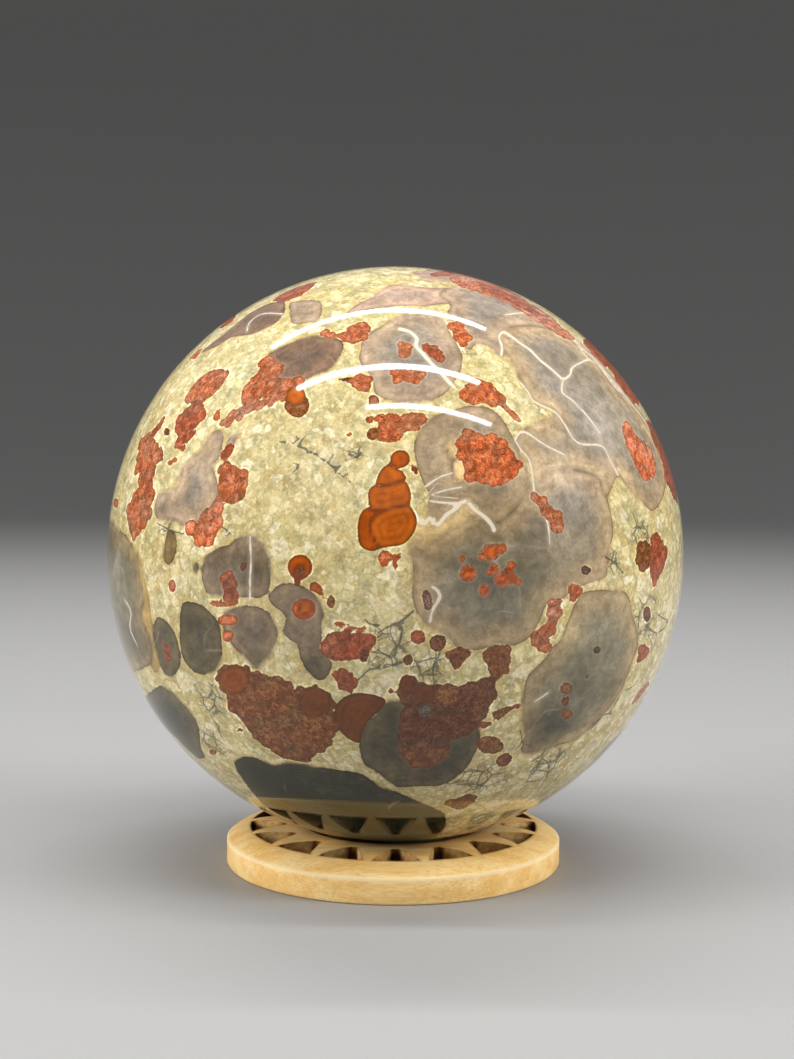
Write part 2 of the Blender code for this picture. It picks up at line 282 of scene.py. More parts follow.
# Red and orange markings that the photograph shows
RED_OUTLINES = {
    "top_lens": ("red", (275, 300, 285, 292, 298, 287, 312, 283, 314, 285, 306, 292, 294, 298, 284, 301)),
    "limb_bit_a": ("orange_red", (222, 326, 230, 318, 237, 313, 234, 319, 226, 326)),
    "limb_bit_b": ("orange_red", (191, 358, 196, 352, 201, 349, 199, 354, 194, 359)),
    "upper_left_cluster": ("rust", (
        263, 361, 268, 360, 272, 366, 279, 369, 276, 375, 280, 382, 290, 386, 302, 384, 304, 390,
        296, 396, 275, 396, 246, 401, 243, 395, 247, 385, 254, 377, 260, 370)),
    "upper_left_band": ("pink_red", (
        286, 396, 262, 399, 245, 405, 235, 410, 226, 418, 220, 426, 228, 424, 240, 416, 250, 412,
        262, 407, 275, 402)),
    "top_bow": ("rust", (
        322, 333, 340, 335, 352, 326, 362, 322, 369, 326, 368, 334, 360, 339, 352, 345, 345, 340, 330, 336)),
    "thin_dark": ("brown_red", (330, 382, 340, 379, 350, 377, 350, 380, 340, 382)),
    "left_lens": ("rust", (
        189, 400, 190, 392, 196, 384, 204, 376, 212, 371, 222, 369, 225, 373, 225, 380, 215, 390,
        209, 396, 203, 401, 196, 405)),
    "left_curl": ("red", (
        176, 428, 178, 418, 184, 411, 192, 406, 200, 405, 203, 410, 203, 418, 197, 424, 188, 430,
        193, 434, 190, 440, 183, 443, 184, 449, 180, 450, 179, 440)),
    "left_small": ("orange_red", (213, 420, 216, 411, 220, 409, 219, 420)),
    "left_streak": ("red", (164, 418, 158, 424, 152, 432, 150, 438, 156, 434, 162, 425)),
    "left_cluster": ("rust", (
        148, 435, 152, 437, 155, 446, 162, 452, 163, 456, 157, 460, 152, 475, 151, 484, 154, 491,
        152, 500, 148, 508, 150, 515, 147, 522, 142, 530, 136, 538, 130, 533, 128, 524, 127, 514,
        130, 503, 133, 498, 139, 499, 142, 490, 141, 478, 139, 468, 136, 460, 139, 450, 140, 440)),
    "left_pink": ("rust", (
        218, 468, 222, 464, 228, 463, 236, 467, 243, 471, 246, 477, 244, 485, 243, 493, 239, 500,
        233, 504, 226, 503, 221, 499, 220, 490, 221, 480)),
    "drop_low": ("red", (233, 447, 230, 456, 224, 460, 221, 458, 223, 450, 228, 444)),
    "crescent": ("coral", (
        218, 498, 221, 505, 222, 514, 221, 524, 217, 531, 213, 538, 208, 544, 202, 545, 196, 542,
        191, 535, 186, 529, 190, 525, 197, 526, 201, 522, 206, 514, 212, 508)),
    "lobe_core": ("red", (222, 576, 228, 572, 234, 576, 236, 585, 238, 595, 234, 600, 226, 598)),
    "lobe_foot": ("orange_red", (210, 600, 224, 602, 238, 601, 238, 605, 224, 607, 211, 605)),
    "oval_core": ("red", (164, 645, 168, 645, 171, 653, 170, 660, 166, 661)),
    "small_crescent": ("orange", (309, 590, 311, 583, 316, 582, 322, 588, 324, 596, 322, 599, 317, 593)),
    "figure_drop": ("deep_orange", (414, 462, 417, 468, 419, 475, 415, 474, 411, 468)),
    "figure_second": ("orange", (
        389, 464, 396, 468, 403, 472, 406, 480, 395, 484, 382, 486, 376, 482, 381, 470)),
    "figure_third": ("orange", (
        374, 485, 382, 486, 395, 483, 405, 481, 410, 490, 411, 498, 409, 504, 400, 507, 390, 509,
        381, 513, 375, 511, 370, 506, 368, 497, 369, 490)),
    "figure_shade": ("deep_orange", (
        361, 513, 366, 508, 373, 510, 390, 514, 392, 530, 386, 546, 380, 548, 374, 551, 366, 550,
        360, 545, 358, 535, 358, 523)),
    "figure_bottom": ("orange", (
        381, 512, 392, 508, 402, 506, 409, 505, 414, 512, 417, 521, 415, 530, 411, 537, 404, 544,
        395, 546, 380, 547, 372, 535, 370, 522)),
    "figure_foot": ("orange_red", (
        378, 557, 381, 552, 387, 551, 393, 554, 402, 553, 401, 558, 397, 559, 399, 566, 397, 574,
        390, 560, 387, 567, 381, 565)),
    "neck": ("orange_red", (
        380, 418, 395, 414, 400, 420, 404, 432, 401, 439, 392, 441, 384, 440, 379, 436)),
    "neck_right": ("orange_red", (402, 416, 425, 414, 416, 430, 410, 430, 404, 424)),
    "above_neck": ("orange_red", (
        352, 382, 355, 376, 362, 374, 371, 378, 371, 386, 369, 392, 363, 392, 357, 388)),
    "beside_neck": ("red", (368, 398, 372, 395, 378, 397, 380, 402, 377, 406, 370, 407)),
    "orb_spot_a": ("orange_red", (398, 352, 399, 346, 404, 342, 410, 345, 412, 352, 408, 358, 402, 358)),
    "orb_spot_b": ("orange_red", (
        391, 372, 400, 369, 412, 370, 425, 371, 421, 377, 416, 383, 406, 380, 398, 382)),
    "orb_spot_c": ("red", (423, 344, 430, 345, 438, 350, 445, 357, 443, 362, 436, 360, 428, 354)),
    "top_right_drop": ("orange_red", (
        450, 323, 456, 322, 462, 326, 467, 335, 469, 341, 465, 347, 459, 344, 455, 338)),
    "top_right_cap": ("orange_red", (
        462, 395, 468, 385, 474, 381, 483, 381, 490, 386, 498, 391, 505, 398, 503, 405, 494, 403,
        480, 401, 466, 401)),
    "cap_tail": ("pink_red", (503, 402, 510, 408, 522, 420, 518, 422, 507, 412, 500, 405)),
    "grain_cluster": ("orange_red", (
        458, 440, 462, 436, 470, 433, 480, 436, 492, 437, 502, 440, 505, 446, 512, 452, 518, 460,
        521, 466, 516, 474, 508, 479, 498, 481, 486, 482, 474, 481, 466, 478, 464, 462, 460, 455,
        458, 447)),
    "pink_streak": ("pink_red", (
        533, 495, 540, 497, 548, 505, 558, 512, 563, 520, 563, 528, 558, 533, 553, 527, 547, 518, 540, 510)),
    "limb_strip": ("pink_red", (
        444, 271, 462, 273, 482, 279, 506, 289, 530, 303, 552, 319, 572, 337, 566, 339, 548, 328,
        525, 313, 500, 300, 475, 291, 455, 283)),
    "right_rim_upper": ("red", (
        587, 340, 602, 353, 616, 368, 629, 383, 638, 401, 635, 403, 621, 388, 612, 371, 596, 358, 584, 343)),
    "right_rim_lower": ("red", (
        651, 423, 660, 440, 667, 459, 674, 478, 677, 498, 674, 499, 666, 480, 663, 461, 654, 443, 648, 424)),
    "limb_strip_core": ("red", (480, 283, 500, 290, 520, 300, 540, 314, 530, 312, 505, 299, 485, 290)),
    "right_cluster": ("coral", (
        623, 426, 628, 424, 632, 432, 640, 438, 648, 446, 653, 455, 655, 465, 654, 475, 647, 478,
        640, 474, 636, 466, 632, 456, 625, 441)),
    "right_oval_a": ("brick", (
        640, 543, 646, 542, 651, 547, 652, 556, 650, 565, 646, 570, 640, 568, 637, 560, 637, 550)),
    "right_oval_b": ("red", (
        655, 534, 659, 535, 661, 543, 666, 550, 667, 556, 662, 565, 660, 575, 655, 584, 651, 578,
        650, 566, 653, 543)),
    "right_low_bit": ("red", (640, 648, 646, 646, 650, 650, 646, 656, 637, 663)),
    "right_limb_bit": ("orange_red", (650, 683, 643, 687, 636, 696, 632, 703, 640, 697)),
    "giant_foot": ("orange_red", (
        532, 634, 540, 629, 546, 624, 553, 620, 557, 623, 553, 630, 548, 636, 551, 645, 546, 652, 538, 650)),
    "giant_corner": ("orange_red", (570, 587, 576, 585, 583, 587, 580, 593, 577, 600, 571, 601)),
    "giant_corner_tail": ("pink_red", (549, 600, 558, 601, 560, 612, 556, 622, 549, 617)),
    "below_giant_a": ("brick", (
        485, 652, 490, 647, 500, 646, 508, 650, 510, 657, 508, 667, 502, 674, 495, 679, 490, 672)),
    "below_giant_b": ("brick", (448, 654, 455, 650, 470, 649, 464, 660, 460, 666, 453, 666)),
    "low_strand": ("brick", (404, 676, 410, 675, 416, 681, 415, 690, 410, 697, 402, 699, 397, 694)),
    "low_left_plate": ("red", (
        335, 634, 345, 633, 358, 637, 368, 637, 374, 641, 373, 646, 366, 651, 360, 656, 352, 660,
        336, 659, 328, 659, 323, 652, 325, 645, 328, 638)),
    "low_left_strip": ("orange_red", (
        334, 623, 340, 621, 348, 624, 360, 628, 367, 624, 366, 629, 342, 628)),
    "low_left_bead_a": ("red", (334, 674, 342, 668, 348, 672, 352, 676, 343, 684, 337, 683)),
    "low_left_bead_b": ("red", (346, 678, 352, 677, 357, 682, 356, 688, 349, 691, 342, 690, 339, 687)),
    "big_brick": ("brick", (
        218, 672, 222, 667, 230, 665, 238, 665, 245, 668, 250, 674, 262, 674, 268, 678, 278, 680,
        285, 683, 293, 688, 300, 697, 302, 691, 308, 687, 316, 686, 324, 690, 330, 696, 334, 700,
        332, 706, 326, 714, 330, 718, 335, 716, 337, 722, 336, 728, 332, 735, 331, 742, 325, 748,
        318, 753, 311, 759, 303, 762, 295, 761, 281, 757, 270, 748, 262, 743, 250, 733, 243, 720,
        232, 712, 227, 706, 228, 697, 223, 690, 218, 682)),
    "half_disc": ("dark_clay", (
        334, 713, 337, 704, 343, 698, 352, 694, 361, 693, 370, 694, 378, 696, 386, 700, 383, 707,
        374, 716, 366, 725, 362, 734, 361, 742, 354, 742, 346, 737, 339, 729, 335, 721)),
    "low_core": ("brick", (
        402, 749, 410, 745, 425, 747, 440, 745, 450, 748, 447, 757, 438, 763, 426, 768, 412, 764, 405, 757)),
    "low_patch": ("brown_red", (
        400, 697, 413, 690, 418, 686, 425, 684, 432, 685, 445, 686, 458, 688, 475, 683, 489, 677,
        495, 683, 495, 692, 488, 704, 486, 712, 477, 727, 470, 733, 450, 741, 425, 746, 410, 745,
        400, 742, 396, 735, 402, 728, 405, 710)),
    "low_right_a": ("red", (480, 722, 494, 723, 482, 729)),
    "low_right_b": ("brick", (489, 706, 494, 711, 510, 706, 512, 710, 500, 718, 497, 722, 490, 712)),
    "bottom_right": ("brick", (446, 803, 460, 797, 468, 794, 475, 796, 466, 807, 455, 809)),
}

# Red discs: tone, place in photo pixels, half widths and tilt in degrees
RED_DISCS = {
    "bead_dark": ("brick", 297, 405, 12.5, 12.5, 0),
    "bead_light": ("orange", 296, 396, 10, 9, 0),
    "figure_top": ("deep_orange", 400, 459, 10, 9, 0),
    "orange_circle": ("deep_orange", 300, 567, 12.5, 12.5, 0),
    "circle_tail": ("deep_orange", 297, 583, 3, 5, 0),
    "eye": ("ember", 304, 609, 12, 10.5, 0),
    "eye_side": ("brick", 331, 602, 4, 7, 0),
    "oval_left": ("orange_red", 172, 586, 3.5, 7, 0),
    "lobe_spot": ("brown_red", 243, 567, 3, 5, 0),
    "twin_a": ("orange_red", 228, 620, 10, 6, 0),
    "twin_b": ("orange_red", 228, 636, 6, 6, 0),
    "speck_a": ("orange_red", 175, 460, 2.5, 3, 0),
    "speck_b": ("orange_red", 170, 463, 2.5, 3, 0),
    "speck_c": ("orange_red", 116, 503, 2.5, 5, 0),
    "speck_d": ("brown_red", 167, 432, 3, 4, 0),
    "speck_e": ("orange_red", 349, 434, 3, 3, 0),
    "speck_f": ("brick", 373, 434, 6, 6, 0),
    "speck_g": ("red", 370, 420, 4, 4, 0),
    "top_limb_core": ("red", 441, 274, 11, 2.5, 5),
    "giant_a": ("coral", 491, 552, 10, 9, 0),
    "giant_b": ("orange_red", 502, 549, 5.5, 5.5, 0),
    "giant_c": ("orange_red", 482, 556, 4.5, 4, 0),
    "giant_d": ("orange_red", 511, 565, 5, 5, 0),
    "giant_e": ("orange_red", 518, 582, 4, 4, 0),
    "giant_f": ("coral", 468, 573.5, 9, 8, 0),
    "giant_g": ("orange_red", 462, 559, 3.5, 3.5, 0),
    "giant_h": ("orange_red", 494.5, 568, 5, 5, 0),
    "giant_i": ("coral", 502, 579, 8, 7.5, 0),
    "giant_j": ("red", 507, 573.5, 5.5, 5, 0),
    "giant_m": ("coral", 512, 579, 5.5, 5.5, 0),
    "giant_n": ("coral", 484, 590, 6, 6.5, 0),
    "giant_o": ("orange_red", 489, 573, 3.5, 3.5, 0),
    "giant_a_core": ("ember", 491, 552, 6.5, 5.5, 0),
    "giant_f_core": ("ember", 468, 574, 6, 5, 0),
    "giant_i_core": ("ember", 502, 579, 5.5, 4.5, 0),
    "giant_n_core": ("ember", 484, 590, 3.5, 4, 0),
    "giant_m_core": ("ember", 513, 580, 3, 3, 0),
    "giant_k": ("black_green", 586, 570, 5, 4.5, 0),
    "giant_l": ("brown_grey", 427, 600, 5, 11, 10),
    "right_core_a": ("brick", 566, 688, 6.5, 6, 0),
    "right_core_b": ("brown_red", 565, 701, 4.5, 4.5, 0),
    "right_core_c": ("brick", 567, 714, 6, 5.5, 0),
    "low_right_c": ("brick", 490, 745, 14, 9, -5),
    "right_dark": ("maroon", 647, 614, 4, 8, 0),
    "ringed_brown": ("brown_red", 438, 643, 8.5, 8.5, 0),
    "by_ringed": ("red", 418, 637, 8, 7, 0),
    "tiny": ("red", 391, 691, 3, 3, 0),
    "dark_bead": ("maroon", 364, 658, 4, 6, 0),
    "brick_lobe_a": ("clay", 234, 680, 15, 14, 0),
    "brick_lobe_b": ("dark_clay", 315, 702, 16, 15, 0),
    "brick_lobe_c": ("brick", 268, 690, 13, 12, 0),
    "patch_lobe_a": ("dark_clay", 407, 684, 8, 9, 0),
    "patch_lobe_b": ("dark_clay", 425, 694, 11, 10, 0),
    "patch_lobe_c": ("brick", 448, 695, 13, 11, 0),
    "patch_lobe_d": ("brown_red", 472, 694, 12, 13, 0),
    "patch_hole": ("dark_grey", 425, 711, 8, 7, 0),
    "patch_bead": ("brick", 408, 660, 5, 6, 0),
    "low_bead": ("red", 518, 706, 4, 3, 0),
    "low_dark": ("brown_red", 504, 760, 8.5, 6, 25),
    "circle_core": ("brown_red", 300, 571, 4.5, 6, 0),
    "eye_core": ("orange", 305, 608, 6, 5.5, 0),
    "low_left_bit": ("red", 213, 752, 4, 3, 0),
    "black_dot": ("maroon", 240, 730, 3.5, 2, 0),
    "right_star": ("black_green", 597, 650, 4, 4, 0),
    "right_spot": ("brown_red", 587, 677, 2.5, 2.5, 0),
}

# Patches of the pale ground: tone, place and reach in photo pixels, strength
GROUND_TINTS = {
    "middle": ("cream", 330, 480, 60, 0.8),
    "top": ("yellow_green", 350, 285, 60, 0.7),
    "top_left": ("pale_green", 240, 390, 55, 0.9),
    "left": ("pale_green", 175, 470, 50, 0.8),
    "olive_piece": ("chalk", 488, 358, 4, 0.9),
    "beside_cap": ("chalk", 522, 398, 7, 0.9),
    "under_giant": ("chalk", 473, 664, 5, 0.9),
    "by_the_drop": ("tan", 484, 334, 14, 0.7),
    "left_low": ("cream", 150, 600, 22, 0.6),
    "olive_patch": ("yellow_green", 492, 370, 22, 1.0),
    "low": ("yellow_green", 350, 745, 40, 0.5),
    "low_middle": ("pale_green", 300, 650, 40, 0.4),
    "low_right": ("ochre", 520, 690, 30, 0.3),
    "right": ("ochre", 640, 590, 35, 0.35),
    "right_rim": ("cream", 640, 500, 22, 0.5),
    # Partly painted shade: darkens the ground at the ball's lower right for the shade there and for its many
    # fine cracks
    "low_right_shade_and_cracks": ("shadow", 522, 764, 26, 0.5),
}

# Pale veins: width in photo pixels and the places that they run through
PALE_LINES = {
    "white_split": (3.5, (
        414, 512, 420, 522, 425, 523, 430, 518, 438, 525, 445, 516, 455, 509, 465, 501, 475, 510,
        485, 517, 492, 525, 494, 530)),
    "giant_crescent": (2.5, (432, 587, 437, 590, 440, 597, 436, 604, 432, 612, 430, 622)),
    "top_slash": (4.0, (
        400, 329, 410, 332, 417, 339, 416, 346, 423, 354, 430, 362, 440, 372, 448, 381, 454, 387)),
    "top_slash_thin": (1.5, (445, 320, 455, 335, 465, 352)),
    "upper_right_a": (3.5, (
        503, 331, 512, 337, 520, 343, 530, 350, 540, 360, 550, 368, 563, 380)),
    "upper_right_b": (2.0, (503, 331, 499, 337, 502, 347, 501, 356)),
    "upper_right_c": (2.0, (563, 380, 570, 375, 572, 368, 580, 363, 590, 360, 600, 368, 613, 385, 620, 392)),
    "upper_right_d": (2.0, (563, 380, 562, 392, 572, 400, 582, 410, 592, 422, 600, 433)),
    "upper_right_e": (1.8, (
        521, 383, 528, 392, 535, 402, 555, 412, 565, 425, 578, 443, 602, 446, 610, 460, 618, 475)),
    "upper_right_f": (1.8, (515, 440, 518, 435, 525, 432, 545, 445, 565, 455)),
    "upper_right_g": (1.8, (515, 440, 521, 450, 530, 462, 534, 490)),
    "giant_thin": (1.5, (543, 510, 548, 525, 550, 545)),
    "middle_a": (1.3, (425, 487, 438, 478, 452, 473)),
    "middle_b": (1.3, (430, 495, 446, 490, 462, 487)),
    "middle_c": (1.3, (430, 501, 448, 503, 465, 503)),
    "lobe_vein": (1.8, (250, 537, 251, 560, 250, 580, 250, 600)),
    "brick_streak": (2.5, (267, 708, 272, 716)),
    "right_streak": (2.0, (534, 702, 542, 697, 549, 692)),
    "lens_loop": (1.5, (247, 331, 250, 322, 262, 314, 282, 314)),
    "left_squiggle": (1.8, (125, 600, 131, 612, 130, 628, 137, 645)),
    "limb_a": (2.0, (505, 315, 520, 313, 537, 314, 552, 321, 566, 330, 579, 347, 588, 359)),
    "limb_b": (3.0, (579, 346, 595, 360, 608, 375, 621, 391, 634, 407, 646, 423, 657, 442, 666, 462)),
}

# Dark cracks: width in photo pixels and the places that they run through
DARK_LINES = {
    "mid_a": (1.6, (
        280, 442, 290, 442, 298, 446, 306, 449, 314, 454, 320, 458, 327, 462, 333, 467, 340, 474,
        351, 483)),
    "mid_b": (1.3, (296, 436, 300, 443)),
    "mid_c": (1.3, (333, 468, 341, 466)),
    "mid_d": (1.3, (293, 463, 300, 466, 292, 473)),
    "mid_e": (2.2, (349, 454, 357, 457, 362, 452)),
    "left_a": (1.3, (222, 527, 232, 533)),
    "left_b": (1.3, (157, 523, 170, 530, 184, 534)),
    "low_a": (1.8, (365, 619, 370, 624, 378, 625, 385, 628, 392, 625, 398, 625)),
    "low_b": (1.8, (
        415, 610, 405, 618, 398, 625, 401, 632, 400, 642, 396, 650, 394, 657, 397, 664, 380, 668,
        370, 669, 358, 680)),
    "low_c": (1.4, (378, 650, 386, 655, 396, 658)),
    "low_d": (1.4, (376, 635, 385, 628)),
    "low_e": (1.6, (440, 652, 436, 662, 433, 668, 434, 685)),
    "right_a": (1.4, (637, 520, 641, 530, 646, 535)),
    "right_b": (1.4, (605, 557, 615, 563, 623, 573)),
    "right_c": (1.6, (655, 612, 661, 617, 668, 622, 657, 633, 645, 625)),
    "right_d": (1.6, (648, 635, 652, 645, 650, 652)),
    "right_e": (1.6, (626, 690, 632, 687, 638, 680)),
    "right_f": (1.8, (620, 695, 610, 712, 602, 716, 590, 730)),
    "bottom_a": (1.6, (462, 778, 466, 772, 474, 770, 482, 772, 488, 776, 485, 782, 478, 786, 472, 795)),
    "bottom_b": (1.6, (462, 778, 452, 784, 446, 783)),
    "bottom_c": (1.6, (520, 730, 522, 742, 515, 750)),
    "bottom_d": (1.6, (530, 762, 541, 758, 549, 766, 546, 778)),
    "bottom_e": (1.6, (541, 758, 545, 750)),
    "brick_a": (1.4, (208, 682, 216, 690, 222, 700)),
    "brick_b": (1.4, (210, 715, 217, 725, 222, 738)),
}

# Where the pale ground is split by nets of dark cracks: place and reach in photo pixels
NET_PLACES = {
    "low_middle": (385, 645, 26),
    "below_middle": (430, 665, 20),
    "bottom_right": (480, 782, 32),
    "lower_right": (545, 765, 30),
    "right": (645, 615, 34),
    "right_upper": (640, 530, 22),
    "left_low": (212, 700, 24),
    "left": (165, 527, 16),
    "left_bottom": (215, 745, 26),
    "giant_edge": (612, 562, 16),
    "upper": (355, 452, 10),
}

# Beads that make up the granular red clusters, in millimetres
BEAD_SPACING = 1.7
BEAD_LEAST = 0.35
BEAD_MOST = 1.35
BEAD_MOST_OF_THICKNESS = 0.55
BEAD_SCATTER = 0.15
BEAD_UNEVENNESS = 0.5
EDGE_BEAD_PULL = 0.62
INNER_BEAD_AREA = 7.0
THIN_SHAPE = 0.9
BEAD_SEED = 733

# How outlines and lines become shapes on the ball, in millimetres along its surface. A pixel past the ball's
# limb lands on its far side, by the gain, and a place farther than FAR_MM from a marking isn't measured.
PHOTO_PIXEL_MM = 0.13
PAST_LIMB_GAIN = 60.0
FAR_MM = 4.0
BLANK_COLOUR = 0.3
BLANK_HALF_WIDTH = 0.1
PATH_STEPS = 4
DISC_POINTS = 10
BLOB_POINTS = 16
BLOB_WAVES = ((2, 0.14), (3, 0.10), (4, 0.06), (5, 0.04))
CRACK_HALF_SHARE = 0.55
BRANCH_LENGTHS = (0.6, 2.2)
BRANCH_THINNING = 0.7
BRANCH_WANDER = (0.4, 0.5)

# Markings made up for the side that the photograph doesn't show, in millimetres. Spreads and strays are
# shares of a marking's size, and the overlap is the share of it that may reach into the side that is shown.
HIDDEN_SEED = 20417
SHOWN_OVERLAP = 0.5
PLACE_TRIES = 60

# Orbs made up there: how many, least and most size and unevenness; then their tones and soft tints
HIDDEN_ORBS = ((18, 6.0, 10.5, 2.0), (38, 3.0, 6.0, 1.7), (46, 1.2, 3.0, 1.2))
ORB_SPREAD = 0.72
HIDDEN_ORB_TONES = ("mid_grey", "grey", "brown_grey", "dark_grey", "tan_grey", "deep_grey", "olive_grey")
HIDDEN_TINTS = 36
HIDDEN_TINT_STRENGTH = 0.7
HIDDEN_ORB_TINTS = ("slate", "tan", "pale_grey", "green_grey")
HIDDEN_GROUND_TINTS = ("cream", "pale_green", "yellow_green", "ochre")

# Red clusters made up there: how many, least and most size; a tone that is named twice is twice as common
HIDDEN_REDS = ((9, 3.6, 6.0), (36, 1.4, 3.0), (80, 0.4, 1.2))
HIDDEN_RED_TONES = ("orange_red", "red", "brick", "orange_red", "deep_orange", "brown_red", "red", "brick")
RED_UNEVENNESS = 1.8
RED_SPREAD = 0.6
SPREAD_RED_FROM = 3.0

# Red cores of the larger orbs there, and buds beside the clusters: how many, how far off and how large
CORED_ORB_FROM = 2.6
CORED_ORB_SHARE = 0.8
CORE_STRAYS = (0.0, 0.45)
CORE_BUDS = (4, 12)
CORE_BUD_STRAYS = (0.0, 0.32)
BUDS = (1, 5)
BUD_STRAYS = (0.8, 1.5)
BUD_SIZES = (0.25, 0.6)
BUD_UNEVENNESS = 0.7

# Lines and nets made up there: how many, lengths, half widths, and the step and bend as they wander
HIDDEN_VEINS = 34
VEIN_LENGTHS = (5.0, 16.0)
VEIN_HALF_WIDTHS = (0.06, 0.26)
VEIN_WANDER = (1.6, 0.45)
HIDDEN_CRACKS = 30
CRACK_FORKS = (2, 5)
CRACK_REACH = 7.0
CRACK_LENGTHS = (2.5, 8.0)
CRACK_HALF_WIDTHS = (0.05, 0.12)
CRACK_WANDER = (1.0, 0.6)
HIDDEN_NETS = 14
NET_REACHES = (2.5, 6.0)

# Pieces of the pale ground: scale, bend in millimetres and strength
GROUND_PIECES = ((0.36, 1.5, 0.85), (0.75, 0.9, 0.95), (1.5, 0.55, 0.6), (3.2, 0.3, 0.22))

# Which pieces take another tone: random channel, lowest and highest pick, strength, tone
GROUND_PICKS = (
    (0, 0.50, 0.78, 1.0, "cream"),
    (1, 0.64, 0.90, 0.55, "shadow"),
    (2, 0.66, 0.90, 0.45, "ochre"),
    (0, 0.84, 0.95, 0.9, "chalk"),
)

# Colours of the wood, linear
WOOD_PALE = (0.97, 0.69, 0.30)
WOOD_DEEP = (0.88, 0.53, 0.165)
WOOD_PORE = (0.42, 0.24, 0.08)
# Painted highlight: the paler colour laid along the edge between the ring's top and its side
WOOD_PAINTED_HIGHLIGHT = (1.0, 0.85, 0.55)
SINGED = (0.24, 0.095, 0.022)
CHARRED = (0.016, 0.006, 0.002)
CHAR_BROWN = (0.12, 0.042, 0.008)

# The studio: a floor that curves up, narrow lamps overhead and soft lamps at the sides, in metres and watts
FLOOR_COLOUR = (0.32, 0.316, 0.312)
FLOOR_FLAT_RADII = (0.0, 0.25, 1.4)
FLOOR_BEND_RADIUS = 1.3
FLOOR_BEND_TURN = math.radians(75.0)
FLOOR_BEND_POINTS = 12
FLOOR_STEPS = 96
STRIP_WIDTH = 0.03
STRIP_LAMPS = {
    "strip_back": ((-0.085, 0.25, 0.8), 0.77, 3.4),
    "strip_middle": ((-0.045, -0.18, 0.8), 0.81, 3.8),
    "strip_front": ((0.19, -0.45, 0.8), 0.68, 2.6),
}
SOFT_SIZE = (0.7, 0.6)
SOFT_SPREAD = math.radians(75.0)
SOFT_TARGET = (0.0, 0.0, 0.03)
SOFT_LAMPS = {
    "soft_left": ((-1.15, -0.35, 0.5), 3.1),
    "soft_right": ((1.15, -0.25, 0.5), 2.7),
}
WORLD_STRENGTH = 0.25


def camera_axes():
    """The camera's forward, right and up directions."""
    forward = np.array((
        math.sin(CAMERA_YAW) * math.cos(CAMERA_PITCH_DOWN),
        math.cos(CAMERA_YAW) * math.cos(CAMERA_PITCH_DOWN),
        -math.sin(CAMERA_PITCH_DOWN),
    ))
    level = np.array((math.cos(CAMERA_YAW), -math.sin(CAMERA_YAW), 0.0))
    upright = np.cross(level, forward)
    right = level * math.cos(CAMERA_ROLL) + upright * math.sin(CAMERA_ROLL)
    up = upright * math.cos(CAMERA_ROLL) - level * math.sin(CAMERA_ROLL)
    return forward, right, up


def make_camera():
    """The camera at the photograph's viewing angle."""
    forward, right, up = camera_axes()
    data = bpy.data.cameras.new("photo_camera")
    data.sensor_width = SENSOR_MM
    data.lens = SENSOR_MM * FOCAL_PIXELS / PHOTO_HEIGHT
    data.clip_start = 0.005
    data.clip_end = 20.0
    camera = bpy.data.objects.new("photo_camera", data)
    bpy.context.scene.collection.objects.link(camera)
    columns = np.column_stack((right, up, -forward))
    matrix = Matrix(columns.tolist()).to_4x4()
    matrix.translation = Vector(CAMERA_PLACE.tolist())
    camera.matrix_world = matrix
    bpy.context.scene.camera = camera


def link_mesh(name, mesh):
    """Put a mesh into the scene as an object."""
    item = bpy.data.objects.new(name, mesh)
    bpy.context.scene.collection.objects.link(item)
    return item


def turned_mesh(name, profile, steps, closed):
    """A mesh made by turning a profile of (radius, height) points round the upright axis."""
    points = []
    for step in range(steps):
        turn = FULL_TURN * step / steps
        points += [(radius * math.cos(turn), radius * math.sin(turn), height) for radius, height in profile]
    count = len(profile)
    faces = []
    for step in range(steps):
        here = step * count
        there = (step + 1) % steps * count
        for index in range(count if closed else count - 1):
            after = (index + 1) % count
            faces.append((here + index, here + after, there + after, there + index))
    mesh = bpy.data.meshes.new(name)
    mesh.from_pydata(points, [], faces)
    return mesh


def unit(vector):
    """A vector's direction, with length one."""
    return vector / np.linalg.norm(vector)


def ball_patches():
    """Unit directions, faces and bake-map places of six square patches that cover the ball."""
    steps = np.tan(np.linspace(-math.pi / 4.0, math.pi / 4.0, PATCH_CELLS + 1))
    share = np.linspace(0.0, 1.0, PATCH_CELLS + 1)
    across, along = np.meshgrid(steps, steps)
    share_across, share_along = np.meshgrid(share, share)
    row = PATCH_CELLS + 1
    corner = np.arange(PATCH_CELLS * row).reshape(PATCH_CELLS, row)[:, :PATCH_CELLS].ravel()
    squares = np.stack((corner, corner + 1, corner + row + 1, corner + row), axis=-1)
    points = []
    faces = []
    places = []
    for index, (out, right) in enumerate(PATCH_SIDES):
        out = np.array(out, dtype=float)
        right = np.array(right, dtype=float)
        grid = out + across[..., None] * right + along[..., None] * np.cross(out, right)
        grid /= np.linalg.norm(grid, axis=-1)[..., None]
        points.append(grid.reshape(-1, 3))
        faces.append(squares + index * row * row)
        left = index % BAKE_COLUMNS / BAKE_COLUMNS + BAKE_MARGIN
        bottom = index // BAKE_COLUMNS / BAKE_ROWS + BAKE_MARGIN
        place = np.stack((
            left + share_across * (1.0 / BAKE_COLUMNS - 2.0 * BAKE_MARGIN),
            bottom + share_along * (1.0 / BAKE_ROWS - 2.0 * BAKE_MARGIN),
        ), axis=-1)
        places.append(place.reshape(-1, 2))
    return np.concatenate(points), np.concatenate(faces), np.concatenate(places)


